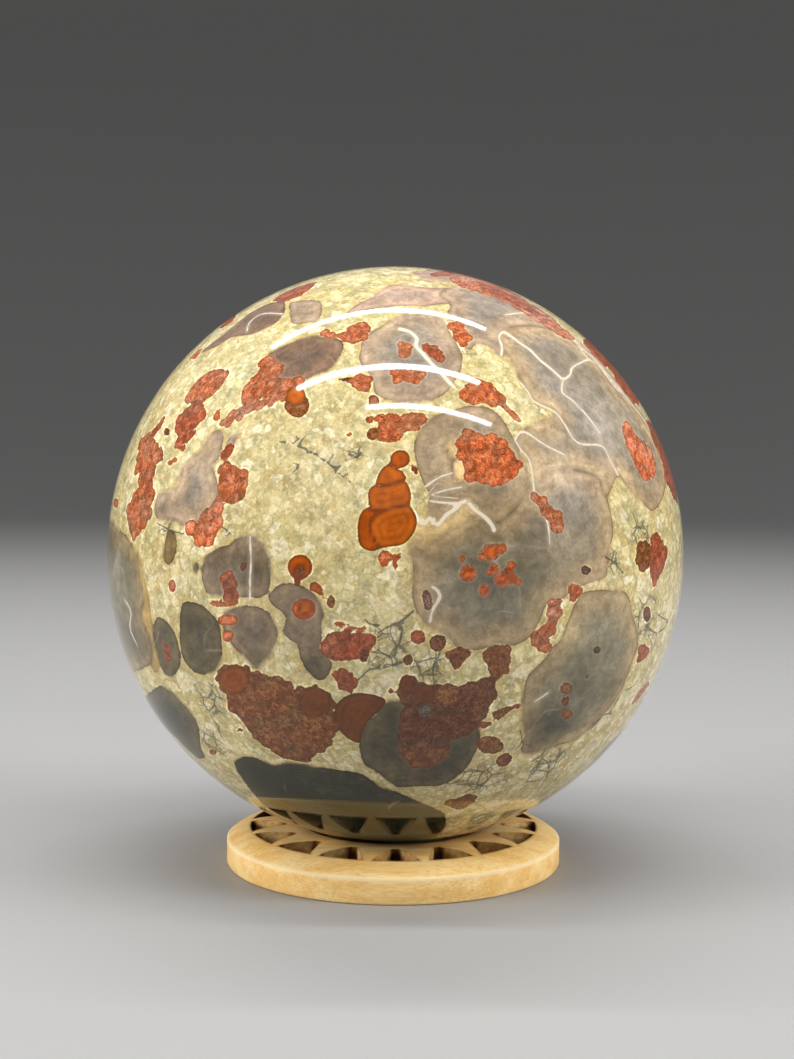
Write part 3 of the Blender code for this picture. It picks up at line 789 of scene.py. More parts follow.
def make_ball():
    """The stone as a mesh of nearly even squares; returns it and its vertices' directions."""
    points, faces, places = ball_patches()
    keys = np.round(points * 1e6).astype(np.int64)
    _, first, merged = np.unique(keys, axis=0, return_index=True, return_inverse=True)
    merged = merged.reshape(-1)
    directions = points[first]
    mesh = bpy.data.meshes.new("jasper_ball")
    corners = BALL_CENTRE + directions * BALL_RADIUS
    mesh.from_pydata(corners.tolist(), [], merged[faces].tolist())
    bake_map = mesh.uv_layers.new(name="OFBake")
    bake_map.data.foreach_set("uv", places[faces.ravel()].ravel().astype(np.float32))
    mesh.shade_smooth()
    mesh.update()
    return link_mesh("jasper_ball", mesh), directions


def ball_direction(x, y):
    """Unit direction from the ball's centre to the place that a photo pixel shows."""
    forward, right, up = camera_axes()
    across = (x - PHOTO_WIDTH / 2.0) / FOCAL_PIXELS
    down = (y - PHOTO_HEIGHT / 2.0) / FOCAL_PIXELS
    ray = unit(forward + right * across - up * down)
    reach = BALL_CENTRE - CAMERA_PLACE
    distance = np.linalg.norm(reach)
    axis = reach / distance
    angle = math.acos(min(1.0, float(ray @ axis)))
    limb = math.asin(BALL_RADIUS / distance)
    side = ray - axis * (ray @ axis)
    side /= max(np.linalg.norm(side), 1e-9)
    if angle < limb:
        turn = math.asin(min(1.0, distance * math.sin(angle) / BALL_RADIUS)) - angle
    else:
        turn = math.pi / 2.0 - limb + (angle - limb) * PAST_LIMB_GAIN
    return side * math.sin(turn) - axis * math.cos(turn)


def pixel_directions(numbers):
    """Directions of a run of x and y numbers."""
    return np.array([ball_direction(x, y) for x, y in zip(numbers[0::2], numbers[1::2])])


def surface_mm(directions, middle):
    """Distance along the surface in millimetres from a middle direction."""
    return np.arccos(np.clip(directions @ middle, -1.0, 1.0)) * BALL_RADIUS_MM


def tangents(middle):
    """Two directions along the surface at a place, square to each other."""
    helper = np.array((0.0, 0.0, 1.0)) if abs(middle[2]) < 0.9 else np.array((1.0, 0.0, 0.0))
    right = unit(np.cross(helper, middle))
    return right, np.cross(middle, right)


def flat_places(directions, middle):
    """Places in millimetres along the surface, on a flat map about a middle direction."""
    right, up = tangents(middle)
    cosine = np.clip(directions @ middle, -1.0, 1.0)
    scale = np.arccos(cosine) / np.sqrt(np.maximum(1.0 - cosine ** 2, 1e-12)) * BALL_RADIUS_MM
    return np.stack((directions @ right * scale, directions @ up * scale), axis=-1)


def around(middle, reach_mm, turns):
    """Directions at a reach and a turn from a middle direction."""
    right, up = tangents(middle)
    reach = np.asarray(reach_mm) / BALL_RADIUS_MM
    side = np.cos(turns)[..., None] * right + np.sin(turns)[..., None] * up
    return np.cos(reach)[..., None] * middle + np.sin(reach)[..., None] * side


def map_directions(places, middle):
    """Directions of places on the flat map about a middle direction."""
    turns = np.arctan2(places[..., 1], places[..., 0])
    return around(middle, np.linalg.norm(places, axis=-1), turns)


def smooth_path(corners, closed):
    """A smooth curve through corners, as more points."""
    if closed:
        before, after, later = np.roll(corners, 1, 0), np.roll(corners, -1, 0), np.roll(corners, -2, 0)
        here = corners
    else:
        padded = np.concatenate((corners[:1], corners, corners[-1:]))
        before, here, after, later = padded[:-3], padded[1:-2], padded[2:-1], padded[3:]
    points = []
    for step in range(PATH_STEPS):
        t = step / PATH_STEPS
        points.append(0.5 * (2.0 * here + (after - before) * t
                             + (2.0 * before - 5.0 * here + 4.0 * after - later) * t ** 2
                             + (3.0 * here - before - 3.0 * after + later) * t ** 3))
    path = np.stack(points, axis=1).reshape(-1, 2)
    return path if closed else np.concatenate((path, corners[-1:]))


def flat_path(path, closed):
    """A path's middle direction and its smooth curve on the flat map about it."""
    middle = unit(path.sum(axis=0))
    return middle, smooth_path(flat_places(path, middle), closed)


def near_places(directions, middle, corners):
    """Which directions lie near a curve on the flat map about a middle direction."""
    reach = float(np.linalg.norm(corners, axis=1).max()) + FAR_MM
    return np.nonzero(directions @ middle > math.cos(min(reach / BALL_RADIUS_MM, math.pi)))[0]


def path_nearest(places, start, end):
    """Each place's distance to the stretches between starts and ends, and its nearest point on them."""
    run = end - start
    offset = places[:, None] - start[None]
    share = np.clip((offset * run).sum(-1) / np.maximum((run * run).sum(-1), 1e-9), 0.0, 1.0)
    distance = np.linalg.norm(offset - share[..., None] * run, axis=-1)
    best = distance.argmin(axis=1)
    rows = np.arange(len(places))
    return distance[rows, best], start[best] + share[rows, best][:, None] * run[best]


def loop_field(directions, loop):
    """Vertices near a closed outline and their distances from it, negative inside."""
    middle, corners = flat_path(loop, True)
    near = near_places(directions, middle, corners)
    places = flat_places(directions[near], middle)
    after = np.roll(corners, -1, 0)
    distance, _ = path_nearest(places, corners, after)
    level = places[:, 1:]
    crosses = (corners[:, 1] > level) != (after[:, 1] > level)
    rise = after[:, 1] - corners[:, 1]
    rise = np.where(np.abs(rise) < 1e-12, 1e-12, rise)
    meets = corners[:, 0] + (level - corners[:, 1]) / rise * (after[:, 0] - corners[:, 0])
    inside = (crosses & (places[:, :1] < meets)).sum(axis=1) % 2 == 1
    return near, np.where(inside, -distance, distance)


def line_field(directions, line):
    """Vertices near an open line, their distances from it and their nearest points on it."""
    middle, corners = flat_path(line, False)
    near = near_places(directions, middle, corners)
    distance, feet = path_nearest(flat_places(directions[near], middle), corners[:-1], corners[1:])
    return near, distance, map_directions(feet, middle) * BALL_RADIUS_MM + BALL_CENTRE * 1000.0


class Loops:
    """A layer of closed markings: distance from the edge, negative inside, seams and colour."""

    def __init__(self, directions):
        self.directions = directions
        self.distance = np.full(len(directions), FAR_MM)
        self.seam = np.full(len(directions), FAR_MM)
        self.colour = np.full((len(directions), 3), BLANK_COLOUR)
        self.grain = np.ones(len(directions))

    def add(self, tone, loop):
        """Lay a marking over those already there; seams keep the edges between them."""
        near, new = loop_field(self.directions, loop)
        old = self.seam[near]
        inside = new < 0.0
        chosen = near[inside | (new < old)]
        outside = np.where(old < 0.0, np.maximum(old, -new), np.minimum(old, new))
        self.seam[near] = np.where(inside, new, outside)
        self.distance[near] = np.minimum(self.distance[near], new)
        self.colour[chosen] = TONES[tone]
        self.grain[chosen] = 0.0 if tone in SMOOTH_TONES else 1.0

    def tint(self, middle, reach_mm, tone, strength):
        """Blend a tone in softly about a place."""
        share = strength * np.exp(-(surface_mm(self.directions, middle) / reach_mm) ** 2)
        self.colour += (np.array(TONES[tone]) - self.colour) * share[:, None]


class Lines:
    """A layer of thin lines: distance from the nearest one, nearest point on it and half its width."""

    def __init__(self, directions):
        self.directions = directions
        self.distance = np.full(len(directions), FAR_MM)
        self.foot = np.zeros((len(directions), 3))
        self.half = np.full(len(directions), BLANK_HALF_WIDTH)

    def add(self, line, half_width_mm):
        """Lay a line where it is nearer than those already there."""
        near, distance, feet = line_field(self.directions, line)
        closer = distance < self.distance[near]
        chosen = near[closer]
        self.distance[chosen] = distance[closer]
        self.foot[chosen] = feet[closer]
        self.half[chosen] = half_width_mm


def disc_loop(x, y, half_width, half_height, tilt):
    """Directions round an ellipse given in photo pixels."""
    lean = math.radians(-tilt)
    numbers = []
    for step in range(DISC_POINTS):
        turn = FULL_TURN * step / DISC_POINTS
        across = half_width * math.cos(turn)
        along = half_height * math.sin(turn)
        numbers.append(x + across * math.cos(lean) - along * math.sin(lean))
        numbers.append(y + across * math.sin(lean) + along * math.cos(lean))
    return pixel_directions(numbers)


def blob_loop(rng, middle, radius_mm, unevenness):
    """Directions round an uneven rounded blob about a middle direction."""
    turns = np.arange(BLOB_POINTS) * FULL_TURN / BLOB_POINTS
    reach = np.ones(BLOB_POINTS)
    for wave, size in BLOB_WAVES:
        height = unevenness * size * rng.uniform(0.3, 1.0)
        reach += height * np.cos(wave * turns + rng.uniform(0.0, FULL_TURN))
    return around(middle, reach * radius_mm, turns)


def add_grainy(rng, layer, tone, loop):
    """Lay a red marking; a granular one is edged and filled with rounded beads."""
    layer.add(tone, loop)
    if tone in SMOOTH_TONES:
        return
    middle, corners = flat_path(loop, True)
    after = np.roll(corners, -1, 0)
    lengths = np.linalg.norm(after - corners, axis=1)
    area = abs(float((corners[:, 0] * after[:, 1] - corners[:, 1] * after[:, 0]).sum())) / 2.0
    thickness = 2.0 * area / float(lengths.sum())
    if thickness < THIN_SHAPE:
        return
    travelled = np.cumsum(lengths)
    centre = corners.mean(axis=0)
    places = []
    for reach in np.arange(0.0, travelled[-1], BEAD_SPACING):
        places.append((corners[int(np.searchsorted(travelled, reach)) % len(corners)], EDGE_BEAD_PULL))
    for _ in range(int(area / INNER_BEAD_AREA)):
        spot = corners[int(rng.integers(len(corners)))]
        places.append((centre + (spot - centre) * math.sqrt(rng.uniform(0.02, 0.7)), 0.0))
    for place, pull in places:
        radius = min(rng.uniform(BEAD_LEAST, BEAD_MOST), thickness * BEAD_MOST_OF_THICKNESS)
        inward = centre - place
        inward /= max(float(np.linalg.norm(inward)), 1e-6)
        spot = place + inward * radius * pull + rng.normal(size=2) * BEAD_SCATTER
        layer.add(tone, blob_loop(rng, map_directions(spot, middle), radius, BEAD_UNEVENNESS))


def hidden_place(rng, radius_mm):
    """A random direction whose surroundings the photograph doesn't show."""
    toward = CAMERA_PLACE - BALL_CENTRE
    shown_mm = math.acos(BALL_RADIUS / np.linalg.norm(toward)) * BALL_RADIUS_MM
    while True:
        place = unit(rng.normal(size=3))
        if surface_mm(place, unit(toward)) - SHOWN_OVERLAP * radius_mm > shown_mm:
            return place


def clear_place(rng, radius_mm, taken, spread):
    """A hidden place that keeps apart from those already taken, where one can be found."""
    for _ in range(PLACE_TRIES):
        place = hidden_place(rng, radius_mm)
        if all(surface_mm(place, other) > spread * (radius_mm + size) for other, size in taken):
            break
    taken.append((place, radius_mm))
    return place


def stray(rng, place, radius_mm, least, most):
    """A direction at a random turn from a place, a random share of a radius away."""
    reach = radius_mm * rng.uniform(least, most)
    return around(place, reach, rng.uniform(0.0, FULL_TURN))


def wander(rng, start, length_mm, step_mm, bend):
    """Directions along a line that wanders over the surface."""
    heading = rng.uniform(0.0, FULL_TURN)
    places = [start]
    for _ in range(max(2, int(length_mm / step_mm))):
        heading += rng.normal() * bend
        places.append(around(places[-1], step_mm, heading))
    return np.array(places)


def tint_hidden_place(rng, layer, least_mm, most_mm, tones):
    """Blend one of several tones in softly at a hidden place."""
    reach = rng.uniform(least_mm, most_mm)
    place = hidden_place(rng, reach)
    layer.tint(place, reach, str(rng.choice(tones)), HIDDEN_TINT_STRENGTH)


def add_hidden_orbs(rng, orbs, ground, taken):
    """Orbs and soft tints for the side that the photograph doesn't show."""
    for count, low, high, unevenness in HIDDEN_ORBS:
        for _ in range(count):
            radius = rng.uniform(low, high)
            place = clear_place(rng, radius, taken, ORB_SPREAD)
            orbs.add(str(rng.choice(HIDDEN_ORB_TONES)), blob_loop(rng, place, radius, unevenness))
    for _ in range(HIDDEN_TINTS):
        tint_hidden_place(rng, orbs, 2.0, 5.0, HIDDEN_ORB_TINTS)
        tint_hidden_place(rng, ground, 3.0, 8.0, HIDDEN_GROUND_TINTS)


def add_hidden_reds(rng, reds, taken):
    """Red clusters for that side: cores of most of the orbs there, then clusters with buds beside them."""
    for place, radius in list(taken):
        if radius > CORED_ORB_FROM and rng.random() < CORED_ORB_SHARE:
            tone = str(rng.choice(HIDDEN_RED_TONES))
            middle = stray(rng, place, radius, *CORE_STRAYS)
            for _ in range(int(rng.integers(*CORE_BUDS))):
                spot = stray(rng, middle, radius, *CORE_BUD_STRAYS)
                size = rng.uniform(0.4, 0.5 + radius * 0.12)
                reds.add(tone, blob_loop(rng, spot, size, BUD_UNEVENNESS))
    for count, low, high in HIDDEN_REDS:
        for _ in range(count):
            radius = rng.uniform(low, high)
            place = clear_place(rng, radius, taken if radius > SPREAD_RED_FROM else [], RED_SPREAD)
            tone = str(rng.choice(HIDDEN_RED_TONES))
            add_grainy(rng, reds, tone, blob_loop(rng, place, radius, RED_UNEVENNESS))
            for _ in range(int(rng.integers(*BUDS))):
                spot = stray(rng, place, radius, *BUD_STRAYS)
                size = radius * rng.uniform(*BUD_SIZES)
                reds.add(tone, blob_loop(rng, spot, size, BUD_UNEVENNESS))


def add_hidden_lines(rng, veins, cracks):
    """Pale veins and branching dark cracks for that side."""
    for _ in range(HIDDEN_VEINS):
        length = rng.uniform(*VEIN_LENGTHS)
        line = wander(rng, hidden_place(rng, length * 0.6), length, *VEIN_WANDER)
        veins.add(line, rng.uniform(*VEIN_HALF_WIDTHS))
    for _ in range(HIDDEN_CRACKS):
        start = hidden_place(rng, CRACK_REACH)
        for _ in range(int(rng.integers(*CRACK_FORKS))):
            line = wander(rng, start, rng.uniform(*CRACK_LENGTHS), *CRACK_WANDER)
            cracks.add(line, rng.uniform(*CRACK_HALF_WIDTHS))
            start = line[int(rng.integers(1, len(line)))]


def net_shares(directions):
    """How strongly nets of cracks show at each vertex."""
    rng = np.random.default_rng(HIDDEN_SEED + 1)
    places = [(ball_direction(x, y), reach * PHOTO_PIXEL_MM) for x, y, reach in NET_PLACES.values()]
    for _ in range(HIDDEN_NETS):
        reach = rng.uniform(*NET_REACHES)
        places.append((hidden_place(rng, reach), reach))
    shares = [np.exp(-(surface_mm(directions, middle) / reach) ** 2) for middle, reach in places]
    return np.max(shares, axis=0)


def store(mesh, name, kind, field, values):
    """Store a number, a place or a colour for each vertex of a mesh."""
    layer = mesh.attributes.new(name, kind, "POINT")
    layer.data.foreach_set(field, values.ravel().astype(np.float32))


def store_colour(mesh, name, colours):
    """Store an opaque colour for each vertex of a mesh."""
    store(mesh, name, "FLOAT_COLOR", "color", np.column_stack((colours, np.ones(len(colours)))))


def mark_ball(mesh, directions):
    """Store the markings on the ball's vertices as distances in millimetres and colours."""
    orbs, reds, ground = (Loops(directions) for _ in range(3))
    veins, cracks = (Lines(directions) for _ in range(2))
    ground.colour[:] = TONES["ground"]
    for tone, numbers in ORB_OUTLINES.values():
        orbs.add(tone, pixel_directions(numbers))
    for tone, *disc in ORB_DISCS.values():
        orbs.add(tone, disc_loop(*disc))
    rng = np.random.default_rng(BEAD_SEED)
    for tone, numbers in RED_OUTLINES.values():
        add_grainy(rng, reds, tone, pixel_directions(numbers))
    for tone, *disc in RED_DISCS.values():
        reds.add(tone, disc_loop(*disc))
    for width, numbers in PALE_LINES.values():
        veins.add(pixel_directions(numbers), width * PHOTO_PIXEL_MM / 2.0)
    for width, numbers in DARK_LINES.values():
        line = pixel_directions(numbers)
        half_width = width * PHOTO_PIXEL_MM * CRACK_HALF_SHARE
        cracks.add(line, half_width)
        for start in line[1::2]:
            branch = wander(rng, start, rng.uniform(*BRANCH_LENGTHS), *BRANCH_WANDER)
            cracks.add(branch, half_width * BRANCH_THINNING)
    for layer, tints in ((orbs, ORB_TINTS), (ground, GROUND_TINTS)):
        for tone, x, y, reach, strength in tints.values():
            layer.tint(ball_direction(x, y), reach * PHOTO_PIXEL_MM, tone, strength)

    rng = np.random.default_rng(HIDDEN_SEED)
    taken = []
    add_hidden_orbs(rng, orbs, ground, taken)
    add_hidden_reds(rng, reds, taken)
    add_hidden_lines(rng, veins, cracks)

    store(mesh, "net", "FLOAT", "value", net_shares(directions))
    store(mesh, "red_grain", "FLOAT", "value", reds.grain)
    store_colour(mesh, "ground_colour", ground.colour)
    for name, layer in (("orb", orbs), ("red", reds)):
        store(mesh, name + "_mm", "FLOAT", "value", layer.distance)
        store(mesh, name + "_seam", "FLOAT", "value", layer.seam)
        store_colour(mesh, name + "_colour", layer.colour)
    for name, layer in (("vein", veins), ("crack", cracks)):
        store(mesh, name + "_mm", "FLOAT", "value", layer.distance)
        store(mesh, name + "_half", "FLOAT", "value", layer.half)
        store(mesh, name + "_foot", "FLOAT_VECTOR", "vector", layer.foot)


class Nodes:
    """Builds one material's nodes. Most methods add one and return its output."""

    def __init__(self, name):
        self.material = bpy.data.materials.new(name)
        self.material.use_nodes = True
        self.tree = self.material.node_tree
        self.shader = self.tree.nodes["Principled BSDF"]
        coordinates = self.tree.nodes.new("ShaderNodeTexCoord")
        self.place = self.vector("SCALE", coordinates.outputs["Object"], scale=1000.0)

    def feed(self, socket, value):
        """Link an output to a socket, or set the socket's own value."""
        if isinstance(value, bpy.types.NodeSocket):
            self.tree.links.new(value, socket)
        elif value is not None:
            socket.default_value = value

    def add(self, kind, values, output=0, **settings):
        """Add a node of a kind, with its settings and the values of its first inputs."""
        node = self.tree.nodes.new("ShaderNode" + kind)
        for name, setting in settings.items():
            setattr(node, name, setting)
        for socket, value in zip(node.inputs, values):
            self.feed(socket, value)
        return node.outputs[output]

    def math(self, operation, first, second=None, third=None):
        """Arithmetic on numbers."""
        return self.add("Math", (first, second, third), operation=operation)

    def times(self, first, second):
        """One number times another."""
        return self.math("MULTIPLY", first, second)

    def minus(self, first, second):
        """One number less another."""
        return self.math("SUBTRACT", first, second)

    def linear(self, value, gain, offset):
        """A number times a gain, plus an offset."""
        return self.math("MULTIPLY_ADD", value, gain, offset)

    def vector(self, operation, first, second=None, third=None, scale=None):
        """Arithmetic on places or colours."""
        output = 1 if operation == "DISTANCE" else 0
        return self.add("VectorMath", (first, second, third, scale), output, operation=operation)

    def step(self, value, low, high, start=0.0, end=1.0):
        """A smooth step from start to end as value goes from low to high."""
        return self.add("MapRange", (value, low, high, start, end), interpolation_type="SMOOTHSTEP")

    def fall(self, value, low, high, start=1.0):
        """A smooth step down to nothing."""
        return self.step(value, low, high, start, 0.0)

    def band(self, value, rise_start, rise_end, fall_start, fall_end):
        """A share that rises to one and falls back to nothing as value grows."""
        return self.times(self.step(value, rise_start, rise_end), self.fall(value, fall_start, fall_end))

    def mix(self, factor, first, second):
        """A mix of two colours."""
        node = self.tree.nodes.new("ShaderNodeMix")
        node.data_type = "RGBA"
        for index, value in ((0, factor), (6, first), (7, second)):
            self.feed(node.inputs[index], (*value, 1.0) if isinstance(value, tuple) else value)
        return node.outputs[2]

    def brightened(self, colour, factor):
        """A colour times a factor."""
        return self.vector("SCALE", colour, scale=factor)

    def mottled(self, colour, noise, low, high, least, most):
        """A colour that a noise darkens to its least and brightens to its most."""
        return self.brightened(colour, self.step(noise, low, high, least, most))

    def noise(self, place, scale, detail, roughness, output="Fac"):
        """Soft noise; with output Color, three of them side by side."""
        node = self.tree.nodes.new("ShaderNodeTexNoise")
        inputs = {"Vector": place, "Scale": scale, "Detail": detail, "Roughness": roughness}
        for name, value in inputs.items():
            self.feed(node.inputs[name], value)
        return node.outputs[output]

    def stretched_noise(self, stretch, detail, roughness=0.6, scale=1.0):
        """Soft noise over the object, finer along some directions than along others."""
        return self.noise(self.vector("MULTIPLY", self.place, stretch), scale, detail, roughness)

    def cells(self, place, scale, feature="F1", output="Distance"):
        """Angular cells."""
        node = self.tree.nodes.new("ShaderNodeTexVoronoi")
        node.feature = feature
        self.feed(node.inputs["Vector"], place)
        self.feed(node.inputs["Scale"], scale)
        return node.outputs[output]

    def cell_edges(self, place, scale):
        """Distance from the edges of angular cells."""
        return self.cells(place, scale, "DISTANCE_TO_EDGE")

    def attribute(self, name, output="Fac"):
        """A value that is stored on the vertices."""
        return self.add("Attribute", (), output, attribute_name=name)

    def parts(self, kind, value):
        """The three parts of a colour or a place."""
        node = self.tree.nodes.new("ShaderNodeSeparate" + kind)
        self.feed(node.inputs[0], value)
        return list(node.outputs)


class Stone(Nodes):
    """The stone's nodes, with the noises that its ground and its markings share."""

    def __init__(self):
        super().__init__("poppy_jasper")
        swirl = self.noise(self.place, 0.9, 4.0, 0.62, "Color")
        self.drift = self.vector("SUBTRACT", swirl, (0.5, 0.5, 0.5))
        self.warped = self.drifted(1.7)
        self.coarse = self.noise(self.place, 0.16, 3.0, 0.6)
        self.middle = self.noise(self.warped, 0.7, 4.0, 0.6)
        self.fine = self.noise(self.place, 2.6, 4.0, 0.65)
        sway = self.minus(self.middle, 0.5)
        shiver = self.minus(self.fine, 0.5)
        self.ripple = self.linear(sway, 0.9, self.times(shiver, 0.35))

    def drifted(self, amount_mm):
        """The place, moved to and fro by a noise."""
        return self.vector("ADD", self.place, self.vector("SCALE", self.drift, scale=amount_mm))

    def edged(self, name, ripple):
        """A stored distance from the markings' edges, which wander a little."""
        return self.math("ADD", self.attribute(name), ripple)

    def line_share(self, layer, ripple, soft_mm):
        """How far a place is in a thin line of a layer, from 0 to 1."""
        reach = self.vector("DISTANCE", self.place, self.attribute(layer + "_foot", "Vector"))
        depth = self.math("ADD", self.minus(reach, self.attribute(layer + "_half")), ripple)
        close = self.fall(self.attribute(layer + "_mm"), 0.55, 0.75)
        return self.times(self.fall(depth, -soft_mm, soft_mm), close)


def ground_colour(stone):
    """The pale ground: angular chalky, cream, ochre and dull green pieces of several sizes."""
    colour = stone.attribute("ground_colour", "Color")
    colour = stone.mix(stone.step(stone.coarse, 0.47, 0.68, 0.0, 0.7), colour, TONES["pale_green"])
    stain = stone.noise(stone.warped, 0.34, 4.0, 0.65)
    colour = stone.mix(stone.step(stain, 0.50, 0.66, 0.0, 0.55), colour, TONES["ochre"])
    for scale, bend, share in GROUND_PIECES:
        bent = stone.drifted(bend)
        picks = stone.parts("Color", stone.cells(bent, scale, output="Color"))
        shape = stone.step(stone.cell_edges(bent, scale), 0.01, 0.12)
        for channel, low, high, strength, tone in GROUND_PICKS:
            chosen = stone.step(picks[channel], low, high, 0.0, share * strength)
            colour = stone.mix(stone.times(chosen, shape), colour, TONES[tone])
        colour = stone.mix(stone.fall(shape, 0.0, 0.5, 0.22 * share), colour, TONES["shadow"])
    colour = stone.mix(stone.fall(stone.middle, 0.33, 0.50, 0.45), colour, TONES["shadow"])
    colour = stone.mix(stone.step(stone.middle, 0.56, 0.68, 0.0, 0.45), colour, TONES["cream"])
    return stone.mottled(colour, stone.fine, 0.3, 0.72, 0.84, 1.13)


def orb_colour(stone, seam, clearness):
    """Grey orbs: darker within, brown and clear towards a dark edge, cloudy and mottled."""
    orb = stone.attribute("orb_colour", "Color")
    inner = stone.vector("MULTIPLY", orb, (0.80, 0.84, 0.90))
    outer = stone.vector("MULTIPLY", orb, (1.12, 1.03, 0.92))
    orb = stone.mix(stone.step(seam, -4.2, -1.0), inner, outer)
    orb = stone.mottled(orb, stone.coarse, 0.3, 0.7, 0.82, 1.20)
    orb = stone.mottled(orb, stone.middle, 0.3, 0.7, 0.78, 1.24)
    orb = stone.mottled(orb, stone.fine, 0.3, 0.72, 0.88, 1.12)
    orb = stone.mottled(orb, stone.noise(stone.warped, 0.2, 4.0, 0.6), 0.52, 0.72, 1.0, 1.35)
    edge_tone = stone.step(clearness, 0.46, 0.60, 0.60, 0.92)
    orb = stone.mottled(orb, seam, -0.36, -0.10, 1.0, edge_tone)
    bright = stone.band(seam, -1.3, -0.9, -0.7, -0.45)
    orb = stone.brightened(orb, stone.linear(bright, 0.14, 1.0))
    wisp = stone.math("ABSOLUTE", stone.minus(stone.noise(stone.place, 0.1, 2.0, 0.4), 0.5))
    wisp_here = stone.step(stone.noise(stone.place, 0.12, 1.0, 0.5), 0.50, 0.60)
    return stone.mix(stone.times(stone.fall(wisp, 0.0, 0.012, 0.28), wisp_here), orb, TONES["pale_grey"])


def red_colour(stone, seam, grain):
    """Red clusters: granular ones of beads with bright walls, and clear amber ones with rings."""
    red = stone.attribute("red_colour", "Color")
    curled = stone.drifted(2.4)
    ridges = []
    for scale, share in ((0.8, 1.0), (1.7, 0.75)):
        line = stone.math("ABSOLUTE", stone.minus(stone.noise(curled, scale, 1.5, 0.5), 0.5))
        ridges.append(stone.fall(line, 0.0, 0.055, share))
    spots = stone.noise(stone.warped, 1.1, 3.0, 0.6)
    faded = stone.noise(stone.vector("ADD", stone.place, (37.0, 11.0, 5.0)), 0.2, 4.0, 0.62)
    granular = stone.vector("MULTIPLY", red, (0.95, 0.60, 0.32))
    faded_red = stone.vector("MULTIPLY", red, (0.6, 1.0, 1.7))
    granular = stone.mix(stone.step(faded, 0.49, 0.62, 0.0, 0.75), granular, faded_red)
    granular = stone.mottled(granular, stone.fine, 0.3, 0.72, 0.70, 1.25)
    granular = stone.mix(stone.step(spots, 0.54, 0.64, 0.0, 0.75), granular, TONES["brown_red"])
    wall = stone.vector("MULTIPLY_ADD", red, (1.15, 1.5, 2.1), (0.12, 0.045, 0.022))
    granular = stone.mix(stone.math("MAXIMUM", *ridges), granular, wall)
    rings = stone.math("SINE", stone.times(seam, 7.5))
    granular = stone.brightened(granular, stone.linear(rings, 0.07, 1.0))
    clear = stone.brightened(red, stone.linear(rings, 0.10, 1.05))
    clear = stone.mottled(clear, stone.middle, 0.35, 0.65, 0.82, 1.18)
    edge = stone.times(stone.step(seam, -0.36, -0.08), stone.linear(grain, -0.2, 0.66))
    return stone.mix(edge, stone.mix(grain, clear, granular), TONES["maroon"])


def net_share(stone, orb_mm, red_mm):
    """How far a place is in the fine nets of cracks, which split the ground here and there."""
    bent = stone.drifted(0.8)
    net = stone.math("MINIMUM", stone.cell_edges(bent, 0.42), stone.times(stone.cell_edges(bent, 0.9), 1.6))
    here = stone.linear(stone.minus(stone.coarse, 0.5), 1.2, stone.attribute("net"))
    here = stone.step(here, 0.30, 0.70)
    outside = stone.times(stone.step(orb_mm, 0.0, 0.2), stone.step(red_mm, 0.0, 0.2))
    return stone.times(stone.fall(net, 0.012, 0.075, 0.85), stone.times(here, outside))


def jasper_material():
    """Polished poppy jasper: pale ground, grey orbs, red clusters, pale veins and dark cracks."""
    stone = Stone()
    grain = stone.attribute("red_grain")
    orb_ripple = stone.times(stone.ripple, 0.6)
    red_ripple = stone.times(stone.ripple, stone.linear(grain, 0.5, 0.25))
    orb_mm = stone.edged("orb_mm", orb_ripple)
    red_mm = stone.edged("red_mm", red_ripple)

    # Orbs, sharp where the stone is cloudy and soft where it is clear, with an ochre skirt
    clearness = stone.noise(stone.place, 0.13, 2.0, 0.5)
    softness = stone.step(clearness, 0.46, 0.60, 0.06, 0.50)
    inside = stone.fall(orb_mm, stone.times(softness, -1.0), softness)
    orb = orb_colour(stone, stone.edged("orb_seam", orb_ripple), clearness)
    colour = stone.mix(inside, ground_colour(stone), orb)
    skirt = stone.times(stone.band(orb_mm, 0.0, 0.08, 0.2, 0.5), 0.4)
    colour = stone.mix(skirt, colour, TONES["ochre"])

    # Pale veins, with a faint halo inside the orbs
    halo = stone.times(stone.line_share("vein", -0.3, 0.33), stone.fall(orb_mm, -0.1, 0.1, 0.32))
    colour = stone.mix(halo, colour, TONES["pale_grey"])
    vein = stone.line_share("vein", stone.times(stone.ripple, 0.45), 0.07)
    colour = stone.mix(stone.times(vein, 0.8), colour, TONES["vein"])

    # Red clusters, with a brighter rim in what lies round them
    rim = stone.band(red_mm, 0.0, 0.06, 0.10, 0.30)
    colour = stone.brightened(colour, stone.linear(rim, 0.35, 1.0))
    red = red_colour(stone, stone.edged("red_seam", red_ripple), grain)
    colour = stone.mix(stone.fall(red_mm, -0.05, 0.05), colour, red)

    # Dark cracks, traced ones and fine nets of them
    crack = stone.line_share("crack", stone.times(stone.ripple, 0.35), 0.05)
    colour = stone.mix(stone.times(crack, 0.8), colour, TONES["crack"])
    colour = stone.mix(net_share(stone, orb_mm, red_mm), colour, TONES["net"])

    stone.feed(stone.shader.inputs["Base Color"], colour)
    stone.feed(stone.shader.inputs["Roughness"], stone.linear(crack, 0.15, 0.05))
    stone.shader.inputs["IOR"].default_value = 1.54
    return stone.material


